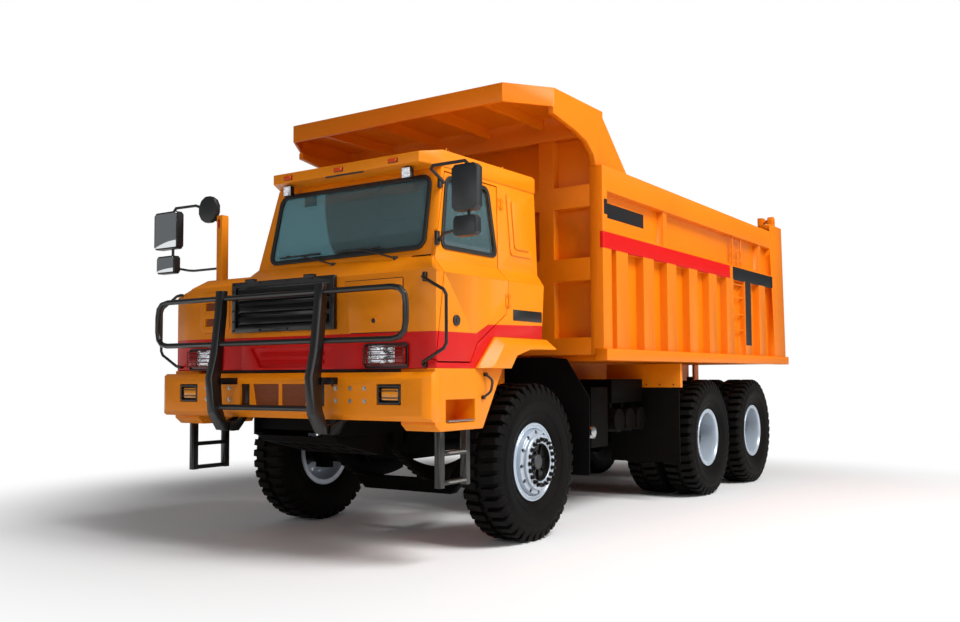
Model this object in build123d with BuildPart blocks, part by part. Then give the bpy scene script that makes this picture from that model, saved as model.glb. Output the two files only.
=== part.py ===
from build123d import *
import os

os.makedirs("parts", exist_ok=True)

# Axles and overall reach, millimetres. The ground is Z = 0, the truck faces +X, its left is +Y.
FRONT_REACH = 2120.0          # front axle to the foremost tube of the bull bar
TAIL_REACH = 7390.0           # front axle to the tail of the bed
WHEELBASE = 4221.0            # front axle to the middle axle
TANDEM = 1806.0               # middle axle to the rear axle
FRONT_AXLE = (TAIL_REACH - FRONT_REACH) / 2
MID_AXLE = FRONT_AXLE - WHEELBASE
REAR_AXLE = MID_AXLE - TANDEM

# Tyres, rims and hubs
TYRE_R = 746.5
TYRE_HALF = 216.0             # half the section width
BULGE_R = 560.0               # where the tyre is widest
TREAD_HALF = 182.0            # half the width over the lugs' tips
LUG_HEIGHT = 46.0
LUG_WIDTH = 118.0
BEAD_R = 325.0
FLANGE_R = 370.0
BEAD_TOE = 12.0               # tyre's inner edge outside the rim's flange
RIM_HALF = 165.0
RIM_WALL = 15.0
WHEEL_SIDES = 18              # flats round a tyre and a rim, one lug on each of the tyre's
FRONT_TYRE_Y = 1345.0
DUAL_OUTER_Y = 1487.0
DUAL_PITCH = 507.0
HUB_R = 150.0
SPINDLE_R = 55.0
RUNNING_GAP = 0.3             # a turning face to the face that carries it
SWING_GAP = 6.0               # a swinging piece to its neighbour

# Chassis frame
RAIL_Y = 480.0                # outer face of a rail's web
RAIL_TOP = 1360.0
RAIL_HEIGHT = 320.0
RAIL_FLANGE = 110.0
RAIL_WALL = 20.0
RAIL_FRONT = FRONT_AXLE + 1700
RAIL_REAR = FRONT_AXLE - 6950
RAIL_LOW = RAIL_TOP - RAIL_HEIGHT
CROSSMEMBER_LENGTH = 110.0
TOW_Z = 1140.0                # middle of the towing jaw at the rear
TOW_JAW = 90.0
TOW_PLATE = 30.0
TOW_REACH = 110.0
TOW_HALF = 70.0
TOW_BORE_R = 26.0

# Front axle and steering
KINGPIN_Y = 1160.0
KINGPIN_R = 30.0
KINGPIN_BOSS_R = 65.0
BEAM_LOW = 385.0
BEAM_DEPTH = 135.0
BEAM_HALF_WIDTH = 55.0
BOSS_LOW = 620.0
BOSS_HIGH = 860.0

# Rear axles and their springs
HOUSING_R = 105.0
DIFFERENTIAL_R = 250.0
HOUSING_END_Y = 730.0
PINION_NOSE = 360.0           # axle to the flange that takes the drive shaft
SPRING_Y = 430.0              # middle of the front springs
BOGIE_SPRING_Y = 610.0
SPRING_WIDTH = 90.0
LEAF = 20.0

# Lower body and cab
NOSE = FRONT_AXLE + 1720
NOSE_CORNER = FRONT_AXLE + 1680
NOSE_HALF = 1360.0
BODY_HALF = 1600.0
BODY_LOW = 1630.0
ARCH_LOW = 1906.0
BELT = 2420.0
DECK = 2510.0
SHOULDER = 2540.0
ROOF_LOW = 3340.0
ROOF_HIGH = 3500.0
CAB_REAR = FRONT_AXLE - 130
BODY_REAR = FRONT_AXLE - 50
CAB_LEFT = 1480.0
CAB_LEFT_TOP = 1450.0
CAB_RIGHT = -630.0
CAB_RIGHT_TOP = -480.0
SCREEN_FOOT = FRONT_AXLE + 1520
SCREEN_HEAD = FRONT_AXLE + 1395
WALL = 45.0
GLASS = 8.0
SEAT_GAP = 0.3                # a fixed piece to its seat
DOOR_SEAM = 12.0
ROD_SIDES = 12                # flats round a plain bar
TUBE_SIDES = 8                # flats round a bent tube

# Bumper
BUMPER_FACE = FRONT_AXLE + 1837
BUMPER_BACK = RAIL_FRONT
BUMPER_HALF = 1640.0
BUMPER_LOW = 1200.0
BUMPER_HIGH = 1600.0

# Bed
BED_FRONT = FRONT_AXLE - 980
BED_TAIL = FRONT_AXLE - TAIL_REACH
BED_WALL_OUT = 1670.0
BED_WALL = 50.0
BED_RAIL_OUT = 1770.0
SILL_OUT = 1810.0
FLOOR_LOW = 1720.0
FLOOR_HIGH = 1840.0
FLOOR_PLATE = 60.0
BAND_LOW = 2885.0
BAND_HIGH = 3060.0
TOP_RAIL_LOW = 3490.0
TOP_RAIL_HIGH = 3755.0
BED_BEAM_DEPTH = 100.0
FRONT_PANEL = 40.0
BED_PIVOT_X = FRONT_AXLE - 6750
BED_PIVOT_Z = 1450.0
BED_PIN_R = 45.0

# Canopy over the cab
CANOPY_FRONT = FRONT_AXLE + 325
CANOPY_SHOULDER = FRONT_AXLE - 110
CANOPY_NOSE_HALF = 1379.0
CANOPY_HALF = 1700.0
CANOPY_TOP = 4354.0
CANOPY_LIP = 186.0
CANOPY_PLATE = 24.0

# Hoist
HOIST_X = FRONT_AXLE - 500
HOIST_FOOT_Z = 1050.0
HOIST_EYE_Z = 2680.0
HOIST_TUBE = 1580.0           # length of one telescopic tube
TRUNNION_R = 40.0


def block(x, y, z, mode=Mode.ADD):
    """A box that spans the (low, high) pairs x, y and z."""
    with Locations(((x[0] + x[1]) / 2, (y[0] + y[1]) / 2, (z[0] + z[1]) / 2)):
        Box(x[1] - x[0], y[1] - y[0], z[1] - z[0], mode=mode)


def prism(plane, outline, depth, mode=Mode.ADD, corner=0.0, grow=0.0):
    """An outline on a plane, its corners rounded, grown by an offset and extruded along the normal."""
    with BuildSketch(plane) as face:
        with BuildLine():
            Polyline(*outline, close=True)
        make_face()
        if grow:
            offset(amount=grow, kind=Kind.INTERSECTION)
        if corner:
            fillet(face.vertices(), corner)
    extrude(to_extrude=face.sketch, amount=depth, mode=mode)


def across(outline, y, mode=Mode.ADD, corner=0.0, grow=0.0):
    """An (x, z) outline extruded across the span y = (low, high)."""
    prism(Plane.XZ.offset(-y[1]), outline, y[1] - y[0], mode, corner, grow)


def along(outline, x, mode=Mode.ADD, corner=0.0, grow=0.0):
    """A (y, z) outline extruded along the span x = (low, high)."""
    prism(Plane.YZ.offset(x[0]), outline, x[1] - x[0], mode, corner, grow)


def upright(outline, z, mode=Mode.ADD):
    """An (x, y) outline extruded over the span z = (low, high)."""
    prism(Plane.XY.offset(z[0]), outline, z[1] - z[0], mode)


def slab(x, y, z, corner):
    """A plate that faces along X, its four corners cut by a chamfer."""
    with BuildSketch(Plane.YZ.offset(x[0])) as face:
        with Locations(((y[0] + y[1]) / 2, (z[0] + z[1]) / 2)):
            Rectangle(y[1] - y[0], z[1] - z[0])
        chamfer(face.vertices(), corner)
    extrude(to_extrude=face.sketch, amount=x[1] - x[0])


def tube(points, diameter, bend=0.0, steps=1):
    """An eight-sided bar along straight runs, its corners turned in steps from the bend on both their runs."""
    route = [Vector(*points[0])]
    for before, corner, after in zip(points, points[1:], points[2:]):
        middle = Vector(*corner)
        enter = middle + (Vector(*before) - middle).normalized() * bend
        leave = middle + (Vector(*after) - middle).normalized() * bend
        for step in range(steps + 1):
            share = step / steps
            route.append(enter * (1 - share) ** 2 + middle * 2 * share * (1 - share) + leave * share**2)
    route.append(Vector(*points[-1]))
    with BuildLine() as run:
        Polyline(*route)
    with BuildSketch(Plane(run.line @ 0, z_dir=run.line % 0)) as section:
        RegularPolygon(diameter / 2, TUBE_SIDES)
    sweep(sections=section.sketch, path=run.line, transition=Transition.RIGHT)


def bar(start, end, radius, mode=Mode.ADD):
    """A round bar between two points, for pins, shafts and bores."""
    axis = Vector(*end) - Vector(*start)
    with BuildSketch(Plane(Vector(*start), z_dir=axis)) as section:
        Circle(radius)
    extrude(to_extrude=section.sketch, amount=axis.length, mode=mode)


def rod(start, end, radius, end_radius=None, mode=Mode.ADD):
    """A many-sided bar or cone between two points, for what nothing turns on."""
    axis = Vector(*end) - Vector(*start)
    ends = []
    for point, size in ((start, radius), (end, end_radius or radius)):
        with BuildSketch(Plane(Vector(*point), z_dir=axis)) as section:
            RegularPolygon(size, ROD_SIDES, major_radius=False, rotation=180 / ROD_SIDES)
        ends.append(section.sketch)
    loft(sections=ends, ruled=True, mode=mode)


def drum(x, side, ends, mode=Mode.ADD):
    """A many-sided drum about a wheel's axis at x; each end is (from the centre line, half across flats)."""
    faces = []
    for reach, radius in ends:
        with BuildSketch(Plane((x, side * reach, TYRE_R), x_dir=(0, 0, 1), z_dir=(0, side, 0))) as face:
            RegularPolygon(radius, WHEEL_SIDES, major_radius=False, rotation=180 / WHEEL_SIDES)
        faces.append(face.sketch)
    loft(sections=faces, ruled=True, mode=mode)


def from_axle(outline):
    """An outline whose x is measured from the front axle."""
    return [(FRONT_AXLE + x, z) for x, z in outline]


# Chassis rails: two channels with the cab's posts, the bed's pivot bosses and the hoist's ears
# Cab post: distance ahead of the front axle, height of the body above it
cab_posts = ((1350, BODY_LOW), (60, ARCH_LOW))
with BuildPart() as frame_rails:
    rail = (
        (RAIL_Y, RAIL_LOW),
        (RAIL_Y, RAIL_TOP),
        (RAIL_Y - RAIL_FLANGE, RAIL_TOP),
        (RAIL_Y - RAIL_FLANGE, RAIL_TOP - RAIL_WALL),
        (RAIL_Y - RAIL_WALL, RAIL_TOP - RAIL_WALL),
        (RAIL_Y - RAIL_WALL, RAIL_LOW + RAIL_WALL),
        (RAIL_Y - RAIL_FLANGE, RAIL_LOW + RAIL_WALL),
        (RAIL_Y - RAIL_FLANGE, RAIL_LOW),
    )
    along(rail, (RAIL_REAR, RAIL_FRONT))
    for ahead, top in cab_posts:
        block((FRONT_AXLE + ahead, FRONT_AXLE + ahead + 110), (RAIL_Y - RAIL_FLANGE, RAIL_Y), (RAIL_TOP, top))
    pivot_boss = (BED_PIVOT_X, RAIL_Y, BED_PIVOT_Z)
    block(
        (BED_PIVOT_X - 85, BED_PIVOT_X + 85), (RAIL_Y - RAIL_FLANGE, RAIL_Y), (RAIL_TOP, BED_PIVOT_Z)
    )
    rod(pivot_boss, (BED_PIVOT_X, RAIL_Y - RAIL_FLANGE, BED_PIVOT_Z), 85)
    bar(
        (BED_PIVOT_X, RAIL_Y + 1, BED_PIVOT_Z),
        (BED_PIVOT_X, RAIL_Y - RAIL_FLANGE - 1, BED_PIVOT_Z),
        BED_PIN_R + RUNNING_GAP,
        mode=Mode.SUBTRACT,
    )
    hoist_ear = (HOIST_X, RAIL_Y - RAIL_WALL, HOIST_FOOT_Z)
    block((HOIST_X - 90, HOIST_X + 90), (180, RAIL_Y - RAIL_WALL), (HOIST_FOOT_Z - 90, HOIST_FOOT_Z + 90))
    bar(hoist_ear, (HOIST_X, 170, HOIST_FOOT_Z), TRUNNION_R + RUNNING_GAP, mode=Mode.SUBTRACT)
    mirror(about=Plane.XZ)
frame_rails.part.label = "frame_rails"
export_step(frame_rails.part, "parts/frame_rails.step")

# Crossmembers between the rails, and the rear one with the towing jaw
# Crossmember: distance behind the front axle, low z, high z
crossmember_table = (
    (-1600, 1090, 1310),
    (920, 1060, 1130),
    (1250, 1080, 1320),
    (1950, 1080, 1320),
    (2700, 1080, 1320),
    (3650, 1080, 1320),
    (4600, 1080, 1320),
    (5650, 1080, 1320),
    (6600, 1080, 1320),
)
with BuildPart() as crossmembers:
    for behind, low, high in crossmember_table:
        middle = FRONT_AXLE - behind
        block(
            (middle - CROSSMEMBER_LENGTH / 2, middle + CROSSMEMBER_LENGTH / 2),
            (RAIL_WALL - RAIL_Y, RAIL_Y - RAIL_WALL),
            (low, high),
        )
    block((RAIL_REAR - RAIL_WALL, RAIL_REAR), (-RAIL_Y, RAIL_Y), (RAIL_LOW, RAIL_TOP - RAIL_WALL))
    for low in (TOW_Z - TOW_JAW / 2 - TOW_PLATE, TOW_Z + TOW_JAW / 2):
        block((RAIL_REAR - TOW_REACH, RAIL_REAR), (-TOW_HALF, TOW_HALF), (low, low + TOW_PLATE))
        rod((RAIL_REAR - TOW_REACH, 0, low), (RAIL_REAR - TOW_REACH, 0, low + TOW_PLATE), TOW_HALF)
    bar(
        (RAIL_REAR - TOW_REACH, 0, RAIL_LOW - 50),
        (RAIL_REAR - TOW_REACH, 0, RAIL_TOP),
        TOW_BORE_R,
        mode=Mode.SUBTRACT,
    )
crossmembers.part.label = "crossmembers"
export_step(crossmembers.part, "parts/crossmembers.step")

# Front axle: a dropped beam with a kingpin boss at each end
with BuildPart() as front_axle:
    beam = (
        (0, BEAM_LOW),
        (560, BEAM_LOW),
        (800, BOSS_LOW + 20),
        (KINGPIN_Y - 40, BOSS_LOW + 20),
        (KINGPIN_Y - 40, BOSS_HIGH - 20),
        (760, BOSS_HIGH - 40),
        (520, BEAM_LOW + BEAM_DEPTH),
        (0, BEAM_LOW + BEAM_DEPTH),
    )
    along(beam, (FRONT_AXLE - BEAM_HALF_WIDTH, FRONT_AXLE + BEAM_HALF_WIDTH))
    rod((FRONT_AXLE, KINGPIN_Y, BOSS_LOW), (FRONT_AXLE, KINGPIN_Y, BOSS_HIGH), KINGPIN_BOSS_R)
    bar(
        (FRONT_AXLE, KINGPIN_Y, BOSS_LOW - 1),
        (FRONT_AXLE, KINGPIN_Y, BOSS_HIGH + 1),
        KINGPIN_R + RUNNING_GAP,
        mode=Mode.SUBTRACT,
    )
    mirror(about=Plane.XZ)
front_axle.part.label = "front_axle"
export_step(front_axle.part, "parts/front_axle.step")

# Rear axles: housing, differential bowl, pinion nose and the spindles that carry the twin wheels
BOWL_HALF = 70.0
BOWL_FOOT = 200.0
with BuildPart() as rear_axles:
    for axle_x in (MID_AXLE, REAR_AXLE):
        rod((axle_x, -HOUSING_END_Y, TYRE_R), (axle_x, HOUSING_END_Y, TYRE_R), HOUSING_R)
        rod((axle_x, -BOWL_HALF, TYRE_R), (axle_x, BOWL_HALF, TYRE_R), DIFFERENTIAL_R)
        rod((axle_x, 0, TYRE_R + 10), (axle_x + PINION_NOSE, 0, TYRE_R + 10), 150, 100)
        for side in (-1, 1):
            rod(
                (axle_x, side * BOWL_HALF, TYRE_R),
                (axle_x, side * BOWL_FOOT, TYRE_R),
                DIFFERENTIAL_R,
                HOUSING_R,
            )
            bar((axle_x, side * HOUSING_END_Y, TYRE_R), (axle_x, side * 1430, TYRE_R), SPINDLE_R)
rear_axles.part.label = "rear_axles"
export_step(rear_axles.part, "parts/rear_axles.step")

# Leaf springs: leaf count, half length, middle height, rise to the ends
front_pack = (7, 820, BEAM_LOW + BEAM_DEPTH, 260)
bogie_pack = (9, 800, TYRE_R + HOUSING_R + 160, -160)
BOGIE_X = (MID_AXLE + REAR_AXLE) / 2


def leaf_pack(x, y, pack):
    """Leaves of falling length, laid on each other along one arc."""
    count, half, base, rise = pack
    for number in range(count):
        reach = half * (1 - 0.09 * (number if rise < 0 else count - 1 - number))
        low = base + number * LEAF
        lift = rise * (reach / half) ** 2
        with BuildSketch(Plane.XZ.offset(-(y + SPRING_WIDTH / 2))) as leaf:
            with BuildLine():
                ThreePointArc((x - reach, low + lift), (x, low), (x + reach, low + lift))
                Line((x + reach, low + lift), (x + reach, low + lift + LEAF))
                ThreePointArc(
                    (x + reach, low + lift + LEAF), (x, low + LEAF), (x - reach, low + lift + LEAF)
                )
                Line((x - reach, low + lift + LEAF), (x - reach, low + lift))
            make_face()
        extrude(to_extrude=leaf.sketch, amount=SPRING_WIDTH)


with BuildPart() as leaf_springs:
    leaf_pack(FRONT_AXLE, SPRING_Y, front_pack)
    top_leaf = front_pack[2] + (front_pack[0] - 1) * LEAF + front_pack[3]
    for end in (-1, 1):
        eye_x = FRONT_AXLE + end * (front_pack[1] - 40)
        block(
            (eye_x - 45, eye_x + 45),
            (SPRING_Y - SPRING_WIDTH / 2, SPRING_Y + SPRING_WIDTH / 2),
            (top_leaf - 30, RAIL_LOW),
        )
    leaf_pack(BOGIE_X, BOGIE_SPRING_Y, bogie_pack)
    saddle_low = bogie_pack[2] - 120
    block(
        (BOGIE_X - 130, BOGIE_X + 130),
        (BOGIE_SPRING_Y - SPRING_WIDTH / 2, BOGIE_SPRING_Y + SPRING_WIDTH / 2),
        (saddle_low, bogie_pack[2] + 10),
    )
    across(
        [
            (BOGIE_X - 240, RAIL_TOP - 60),
            (BOGIE_X + 240, RAIL_TOP - 60),
            (BOGIE_X + 110, saddle_low),
            (BOGIE_X - 110, saddle_low),
        ],
        (RAIL_Y, BOGIE_SPRING_Y - SPRING_WIDTH / 2),
    )
    for axle_x in (MID_AXLE, REAR_AXLE):
        block(
            (axle_x - 80, axle_x + 80),
            (BOGIE_SPRING_Y - SPRING_WIDTH / 2, BOGIE_SPRING_Y + SPRING_WIDTH / 2),
            (TYRE_R + HOUSING_R + SEAT_GAP, TYRE_R + HOUSING_R + 60),
        )
    mirror(about=Plane.XZ)
leaf_springs.part.label = "leaf_springs"
export_step(leaf_springs.part, "parts/leaf_springs.step")

# Engine and gearbox as plain masses between the rails
ENGINE_HALF = 340.0
with BuildPart() as powertrain:
    engine_x = (FRONT_AXLE + 320, FRONT_AXLE + 1450)
    block(engine_x, (-ENGINE_HALF, ENGINE_HALF), (1050, 1580))
    block((engine_x[0] + 80, FRONT_AXLE + 980), (-230, 230), (880, 1050))
    block((FRONT_AXLE - 330, engine_x[0]), (-230, 230), (735, 1290))
    for end in (-1, 1):
        block(
            (FRONT_AXLE + 850 - 60, FRONT_AXLE + 850 + 60),
            (min(end * ENGINE_HALF, end * 460), max(end * ENGINE_HALF, end * 460)),
            (1120, 1240),
        )
powertrain.part.label = "powertrain"
export_step(powertrain.part, "parts/powertrain.step")

# Drive shafts from the gearbox to the middle axle and on to the rear one
SHAFT_R = 62.0
SHAFT_FLANGE = 40.0
GEARBOX_REAR = FRONT_AXLE - 330
GEARBOX_SHAFT_Z = 820.0
# Shaft: front flange x, z and rear flange x, z
shafts = (
    (GEARBOX_REAR, GEARBOX_SHAFT_Z, MID_AXLE + PINION_NOSE, TYRE_R + 10),
    (MID_AXLE - DIFFERENTIAL_R, TYRE_R + 10, REAR_AXLE + PINION_NOSE, TYRE_R + 10),
)
with BuildPart() as drive_shafts:
    for front_x, front_z, rear_x, rear_z in shafts:
        rod((front_x - SEAT_GAP, 0, front_z), (front_x - SHAFT_FLANGE, 0, front_z), 80)
        rod((rear_x + SEAT_GAP, 0, rear_z), (rear_x + SHAFT_FLANGE, 0, rear_z), 80)
        rod((front_x - SHAFT_FLANGE / 2, 0, front_z), (rear_x + SHAFT_FLANGE / 2, 0, rear_z), SHAFT_R)
drive_shafts.part.label = "drive_shafts"
export_step(drive_shafts.part, "parts/drive_shafts.step")

# Slotted guard plate under the nose
GUARD_FRONT_Z = 980.0
GUARD_REAR_Z = 836.0
with BuildPart() as belly_guard:
    guard = from_axle(
        [
            (1660, 1035),
            (1600, GUARD_FRONT_Z),
            (1000, GUARD_REAR_Z),
            (1000, GUARD_REAR_Z + 12),
            (1596, GUARD_FRONT_Z + 12),
            (1650, 1040),
        ]
    )
    across(guard, (-RAIL_Y, RAIL_Y))
    cheek = from_axle([(1650, RAIL_LOW), (1596, GUARD_FRONT_Z), (1000, GUARD_REAR_Z), (1000, RAIL_LOW)])
    across(cheek, (RAIL_Y - 12, RAIL_Y))
    across(cheek, (-RAIL_Y, -RAIL_Y + 12))
    for row in range(2):
        for column in range(5):
            slot_x = FRONT_AXLE + 1120 + row * 240
            slot_y = (column - 2) * 170
            block((slot_x, slot_x + 150), (slot_y - 30, slot_y + 30), (800, 1034), mode=Mode.SUBTRACT)
belly_guard.part.label = "belly_guard"
export_step(belly_guard.part, "parts/belly_guard.step")

# Bull bar dimensions that its brackets share
BAR_POST_Y = 615.0
BAR_POST_HALF = 45.0
BAR_PIVOT_X = FRONT_AXLE + 1880
BAR_PIVOT_Z = 1120.0
BAR_PIN_R = 20.0
BRACKET_PLATE = 16.0
LATCH_Z = 1530.0
PULL_PIN = 52.0               # pull pin outside its plate

# Front bumper with mesh recesses, slots, lamp recesses and the bull bar's brackets
with BuildPart() as bumper:
    upright(
        [
            (BUMPER_BACK, -BUMPER_HALF),
            (BUMPER_FACE - 37, -BUMPER_HALF),
            (BUMPER_FACE, -BUMPER_HALF + 70),
            (BUMPER_FACE, BUMPER_HALF - 70),
            (BUMPER_FACE - 37, BUMPER_HALF),
            (BUMPER_BACK, BUMPER_HALF),
        ],
        (BUMPER_LOW, BUMPER_HIGH),
    )
    across(
        [
            (BUMPER_FACE - 67, BUMPER_HIGH + 1),
            (BUMPER_FACE + 1, BUMPER_HIGH - 52),
            (BUMPER_FACE + 1, BUMPER_HIGH + 1),
        ],
        (-BUMPER_HALF - 1, BUMPER_HALF + 1),
        mode=Mode.SUBTRACT,
    )
    across(
        [
            (BUMPER_FACE - 67, BUMPER_LOW - 1),
            (BUMPER_FACE + 1, BUMPER_LOW + 46),
            (BUMPER_FACE + 1, BUMPER_LOW - 1),
        ],
        (-BUMPER_HALF - 1, BUMPER_HALF + 1),
        mode=Mode.SUBTRACT,
    )
    for side in (-1, 1):
        along(
            [(side * 21, 1504), (side * 345, 1504), (side * 304, 1310), (side * 21, 1310)],
            (BUMPER_FACE - 14, BUMPER_FACE + 1),
            mode=Mode.SUBTRACT,
        )
        along(
            [(side * 391, 1504), (side * 528, 1504), (side * 528, 1313), (side * 391, 1313)],
            (BUMPER_FACE - 40, BUMPER_FACE + 1),
            mode=Mode.SUBTRACT,
        )
        along(
            [(side * 1105, 1503), (side * 1361, 1503), (side * 1361, 1333), (side * 1105, 1333)],
            (BUMPER_FACE - 60, BUMPER_FACE + 1),
            mode=Mode.SUBTRACT,
        )
    cheek_set = BAR_POST_HALF + SWING_GAP
    for side in (-1, 1):
        for near in (side * BAR_POST_Y - cheek_set - BRACKET_PLATE, side * BAR_POST_Y + cheek_set):
            cheek_y = (near, near + BRACKET_PLATE)
            across(
                [
                    (BUMPER_BACK + 10, BUMPER_LOW + 2),
                    (BUMPER_BACK + 66, BUMPER_LOW + 2),
                    (BAR_PIVOT_X + 40, BAR_PIVOT_Z + 30),
                    (BAR_PIVOT_X + 40, BAR_PIVOT_Z - 40),
                    (BAR_PIVOT_X - 60, BAR_PIVOT_Z - 40),
                ],
                cheek_y,
            )
            block((BUMPER_FACE - 10, FRONT_AXLE + 2030), cheek_y, (LATCH_Z - 30, LATCH_Z + 30))
        pin_foot = side * (BAR_POST_Y + cheek_set + BRACKET_PLATE)
        pin_x = FRONT_AXLE + 1960
        rod((pin_x, pin_foot, LATCH_Z), (pin_x, pin_foot + side * PULL_PIN, LATCH_Z), 14)
        pin_y = pin_foot + side * PULL_PIN
        rod((pin_x, pin_y, LATCH_Z - 45), (pin_x, pin_y, LATCH_Z + 12), 9)
        bar(
            (BAR_PIVOT_X, side * BAR_POST_Y - cheek_set, BAR_PIVOT_Z),
            (BAR_PIVOT_X, side * BAR_POST_Y + cheek_set, BAR_PIVOT_Z),
            BAR_PIN_R,
        )
bumper.part.label = "bumper"
export_step(bumper.part, "parts/bumper.step")

# Side outline of the lower body and cab, x from the front axle, and the same with the walls taken off
BODY_PLAN = [
    (BODY_REAR, -BODY_HALF),
    (NOSE_CORNER, -BODY_HALF),
    (NOSE, -NOSE_HALF),
    (NOSE, NOSE_HALF),
    (NOSE_CORNER, BODY_HALF),
    (CAB_REAR - 50, BODY_HALF),
    (CAB_REAR - 50, CAB_RIGHT),
    (BODY_REAR, CAB_RIGHT),
]
ARCH_FRONT = FRONT_AXLE + 1125
ARCH_KNEE = FRONT_AXLE + 834
CAB_SIDE = [
    (NOSE, BODY_LOW),
    (NOSE, BELT + 10),
    (NOSE - 100, DECK),
    (SCREEN_FOOT, SHOULDER + 40),
    (SCREEN_HEAD, ROOF_LOW),
    (CAB_REAR, ROOF_LOW),
    (CAB_REAR, SHOULDER),
    (BODY_REAR, BELT),
    (BODY_REAR + 50, ARCH_LOW),
    (ARCH_KNEE, ARCH_LOW),
    (ARCH_FRONT, BODY_LOW),
]
CAB_SECTION = [
    (BODY_HALF, BODY_LOW),
    (BODY_HALF, BELT),
    (CAB_LEFT, SHOULDER),
    (CAB_LEFT_TOP, ROOF_LOW),
    (CAB_RIGHT_TOP, ROOF_LOW),
    (CAB_RIGHT, SHOULDER),
    (CAB_RIGHT, BODY_LOW),
]
CAB_SIDE_IN = [
    (NOSE - WALL, BODY_LOW + WALL),
    (NOSE - WALL, BELT - 10),
    (NOSE - 100 - WALL / 2, DECK - WALL),
    (SCREEN_FOOT - WALL, SHOULDER),
    (SCREEN_HEAD - WALL, ROOF_LOW - WALL / 2),
    (CAB_REAR + WALL, ROOF_LOW - WALL / 2),
    (CAB_REAR + WALL, SHOULDER),
    (BODY_REAR + WALL, BELT),
    (BODY_REAR + 50 + WALL, ARCH_LOW + WALL),
    (ARCH_KNEE + WALL / 2, ARCH_LOW + WALL),
    (ARCH_FRONT + WALL / 2, BODY_LOW + WALL),
]
CAB_SECTION_IN = [
    (BODY_HALF - WALL, BODY_LOW),
    (BODY_HALF - WALL, BELT - WALL / 2),
    (CAB_LEFT - WALL, SHOULDER - WALL / 2),
    (CAB_LEFT_TOP - WALL, ROOF_LOW),
    (CAB_RIGHT_TOP + WALL, ROOF_LOW),
    (CAB_RIGHT + WALL, SHOULDER),
    (CAB_RIGHT + WALL, BODY_LOW),
]
# Door outline (x from the front axle, z), clockwise from the top of its rear edge
DOOR_OUTLINE = from_axle(
    [
        (540, 3310),
        (1361, 3310),
        (1575, 2417),
        (1690, 1700),
        (1665, 1675),
        (1190, 1675),
        (1084, 1841),
        (611, 2117),
        (575, 2417),
    ]
)
DOOR_WINDOW = from_axle([(1335, 3260), (708, 3260), (600, 2650), (1440, 2650)])
# Windscreen and rear window, (y, z)
SCREEN = [(-475, 2620), (-420, 3275), (1355, 3275), (1355, 2640)]
REAR_WINDOW = [(-250, 2700), (-250, 3200), (1200, 3200), (1200, 2700)]
SCREEN_CORNER = 90.0
WINDOW_CORNER = 70.0
GLASS_SET = 14.0              # glass inside the wall's outer face
# Raised panel behind the door (x, z), and the louvre under the grille (y, z)
SIDE_PANEL = from_axle([(396, 3270), (30, 3270), (-48, 2690), (355, 2690)])
PANEL_RISE = 12.0
NOSE_LOUVRE = [(-524, 1830), (-391, 1652), (391, 1652), (524, 1830)]
LOUVRE_DEPTH = 24.0


def screen_x(z):
    """Outer face of the front cab wall at a height above the windscreen's foot."""
    share = (z - SHOULDER - 40) / (ROOF_LOW - SHOULDER - 40)
    return SCREEN_FOOT + share * (SCREEN_HEAD - SCREEN_FOOT)


# Right side of the lower body, a closed box beside the cab, with a vented panel and the mirror post
VENT_PANEL_Y = (-1200, -790)
VENT_PANEL_Z = (1985, 2375)
MIRROR_POST_X = FRONT_AXLE + 1520
MIRROR_POST_Y = 1140.0
MIRROR_POST_TOP = 3160.0
with BuildPart() as front_body:
    across(CAB_SIDE[:3] + [(BODY_REAR, DECK)] + CAB_SIDE[7:], (-BODY_HALF, CAB_RIGHT))
    upright(BODY_PLAN, (BODY_LOW - 1, DECK + 1), mode=Mode.INTERSECT)
    along(
        [
            (-BODY_HALF - 1, DECK + 1),
            (-BODY_HALF - 1, BELT - 60),
            (-NOSE_HALF, BELT),
            (-NOSE_HALF + 130, DECK + 1),
        ],
        (BODY_REAR - 100, NOSE + 1),
        mode=Mode.SUBTRACT,
    )
    slab((NOSE - 1, NOSE + 14), VENT_PANEL_Y, VENT_PANEL_Z, 50)
    for low in (2050, 2200):
        vent_y = (VENT_PANEL_Y[0] + 70, VENT_PANEL_Y[1] - 50)
        block((NOSE - 20, NOSE + 15), vent_y, (low, low + 75), mode=Mode.SUBTRACT)
    block(
        (MIRROR_POST_X - 40, MIRROR_POST_X + 40),
        (-MIRROR_POST_Y - 40, -MIRROR_POST_Y + 40),
        (DECK - 20, MIRROR_POST_TOP),
    )
front_body.part.label = "front_body"
export_step(front_body.part, "parts/front_body.step")

# Room inside the cab's walls
with BuildPart() as cab_room:
    across(CAB_SIDE_IN, (CAB_RIGHT + WALL, BODY_HALF - WALL))
    along(CAB_SECTION_IN, (CAB_REAR - 100, NOSE + 1), mode=Mode.INTERSECT)
    upright(
        [
            (CAB_REAR, CAB_RIGHT),
            (NOSE - WALL, CAB_RIGHT),
            (NOSE - WALL, NOSE_HALF - WALL),
            (NOSE_CORNER - WALL, BODY_HALF - WALL),
            (CAB_REAR, BODY_HALF - WALL),
        ],
        (BODY_LOW, ROOF_LOW),
        mode=Mode.INTERSECT,
    )

# Raised panel in the cab's left wall behind the door: a rim and a higher middle
with BuildPart() as side_panel:
    for rise, grow in ((PANEL_RISE, 0), (2 * PANEL_RISE, -60)):
        with BuildPart() as layer:
            along(
                [
                    (CAB_LEFT - 10, SHOULDER),
                    (CAB_LEFT + rise, SHOULDER),
                    (CAB_LEFT_TOP + rise, ROOF_LOW),
                    (CAB_LEFT_TOP - 10, ROOF_LOW),
                ],
                (CAB_REAR, FRONT_AXLE + 400),
            )
            across(SIDE_PANEL, (CAB_RIGHT, BODY_HALF), mode=Mode.INTERSECT, corner=40, grow=grow)
        add(layer.part)

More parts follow.
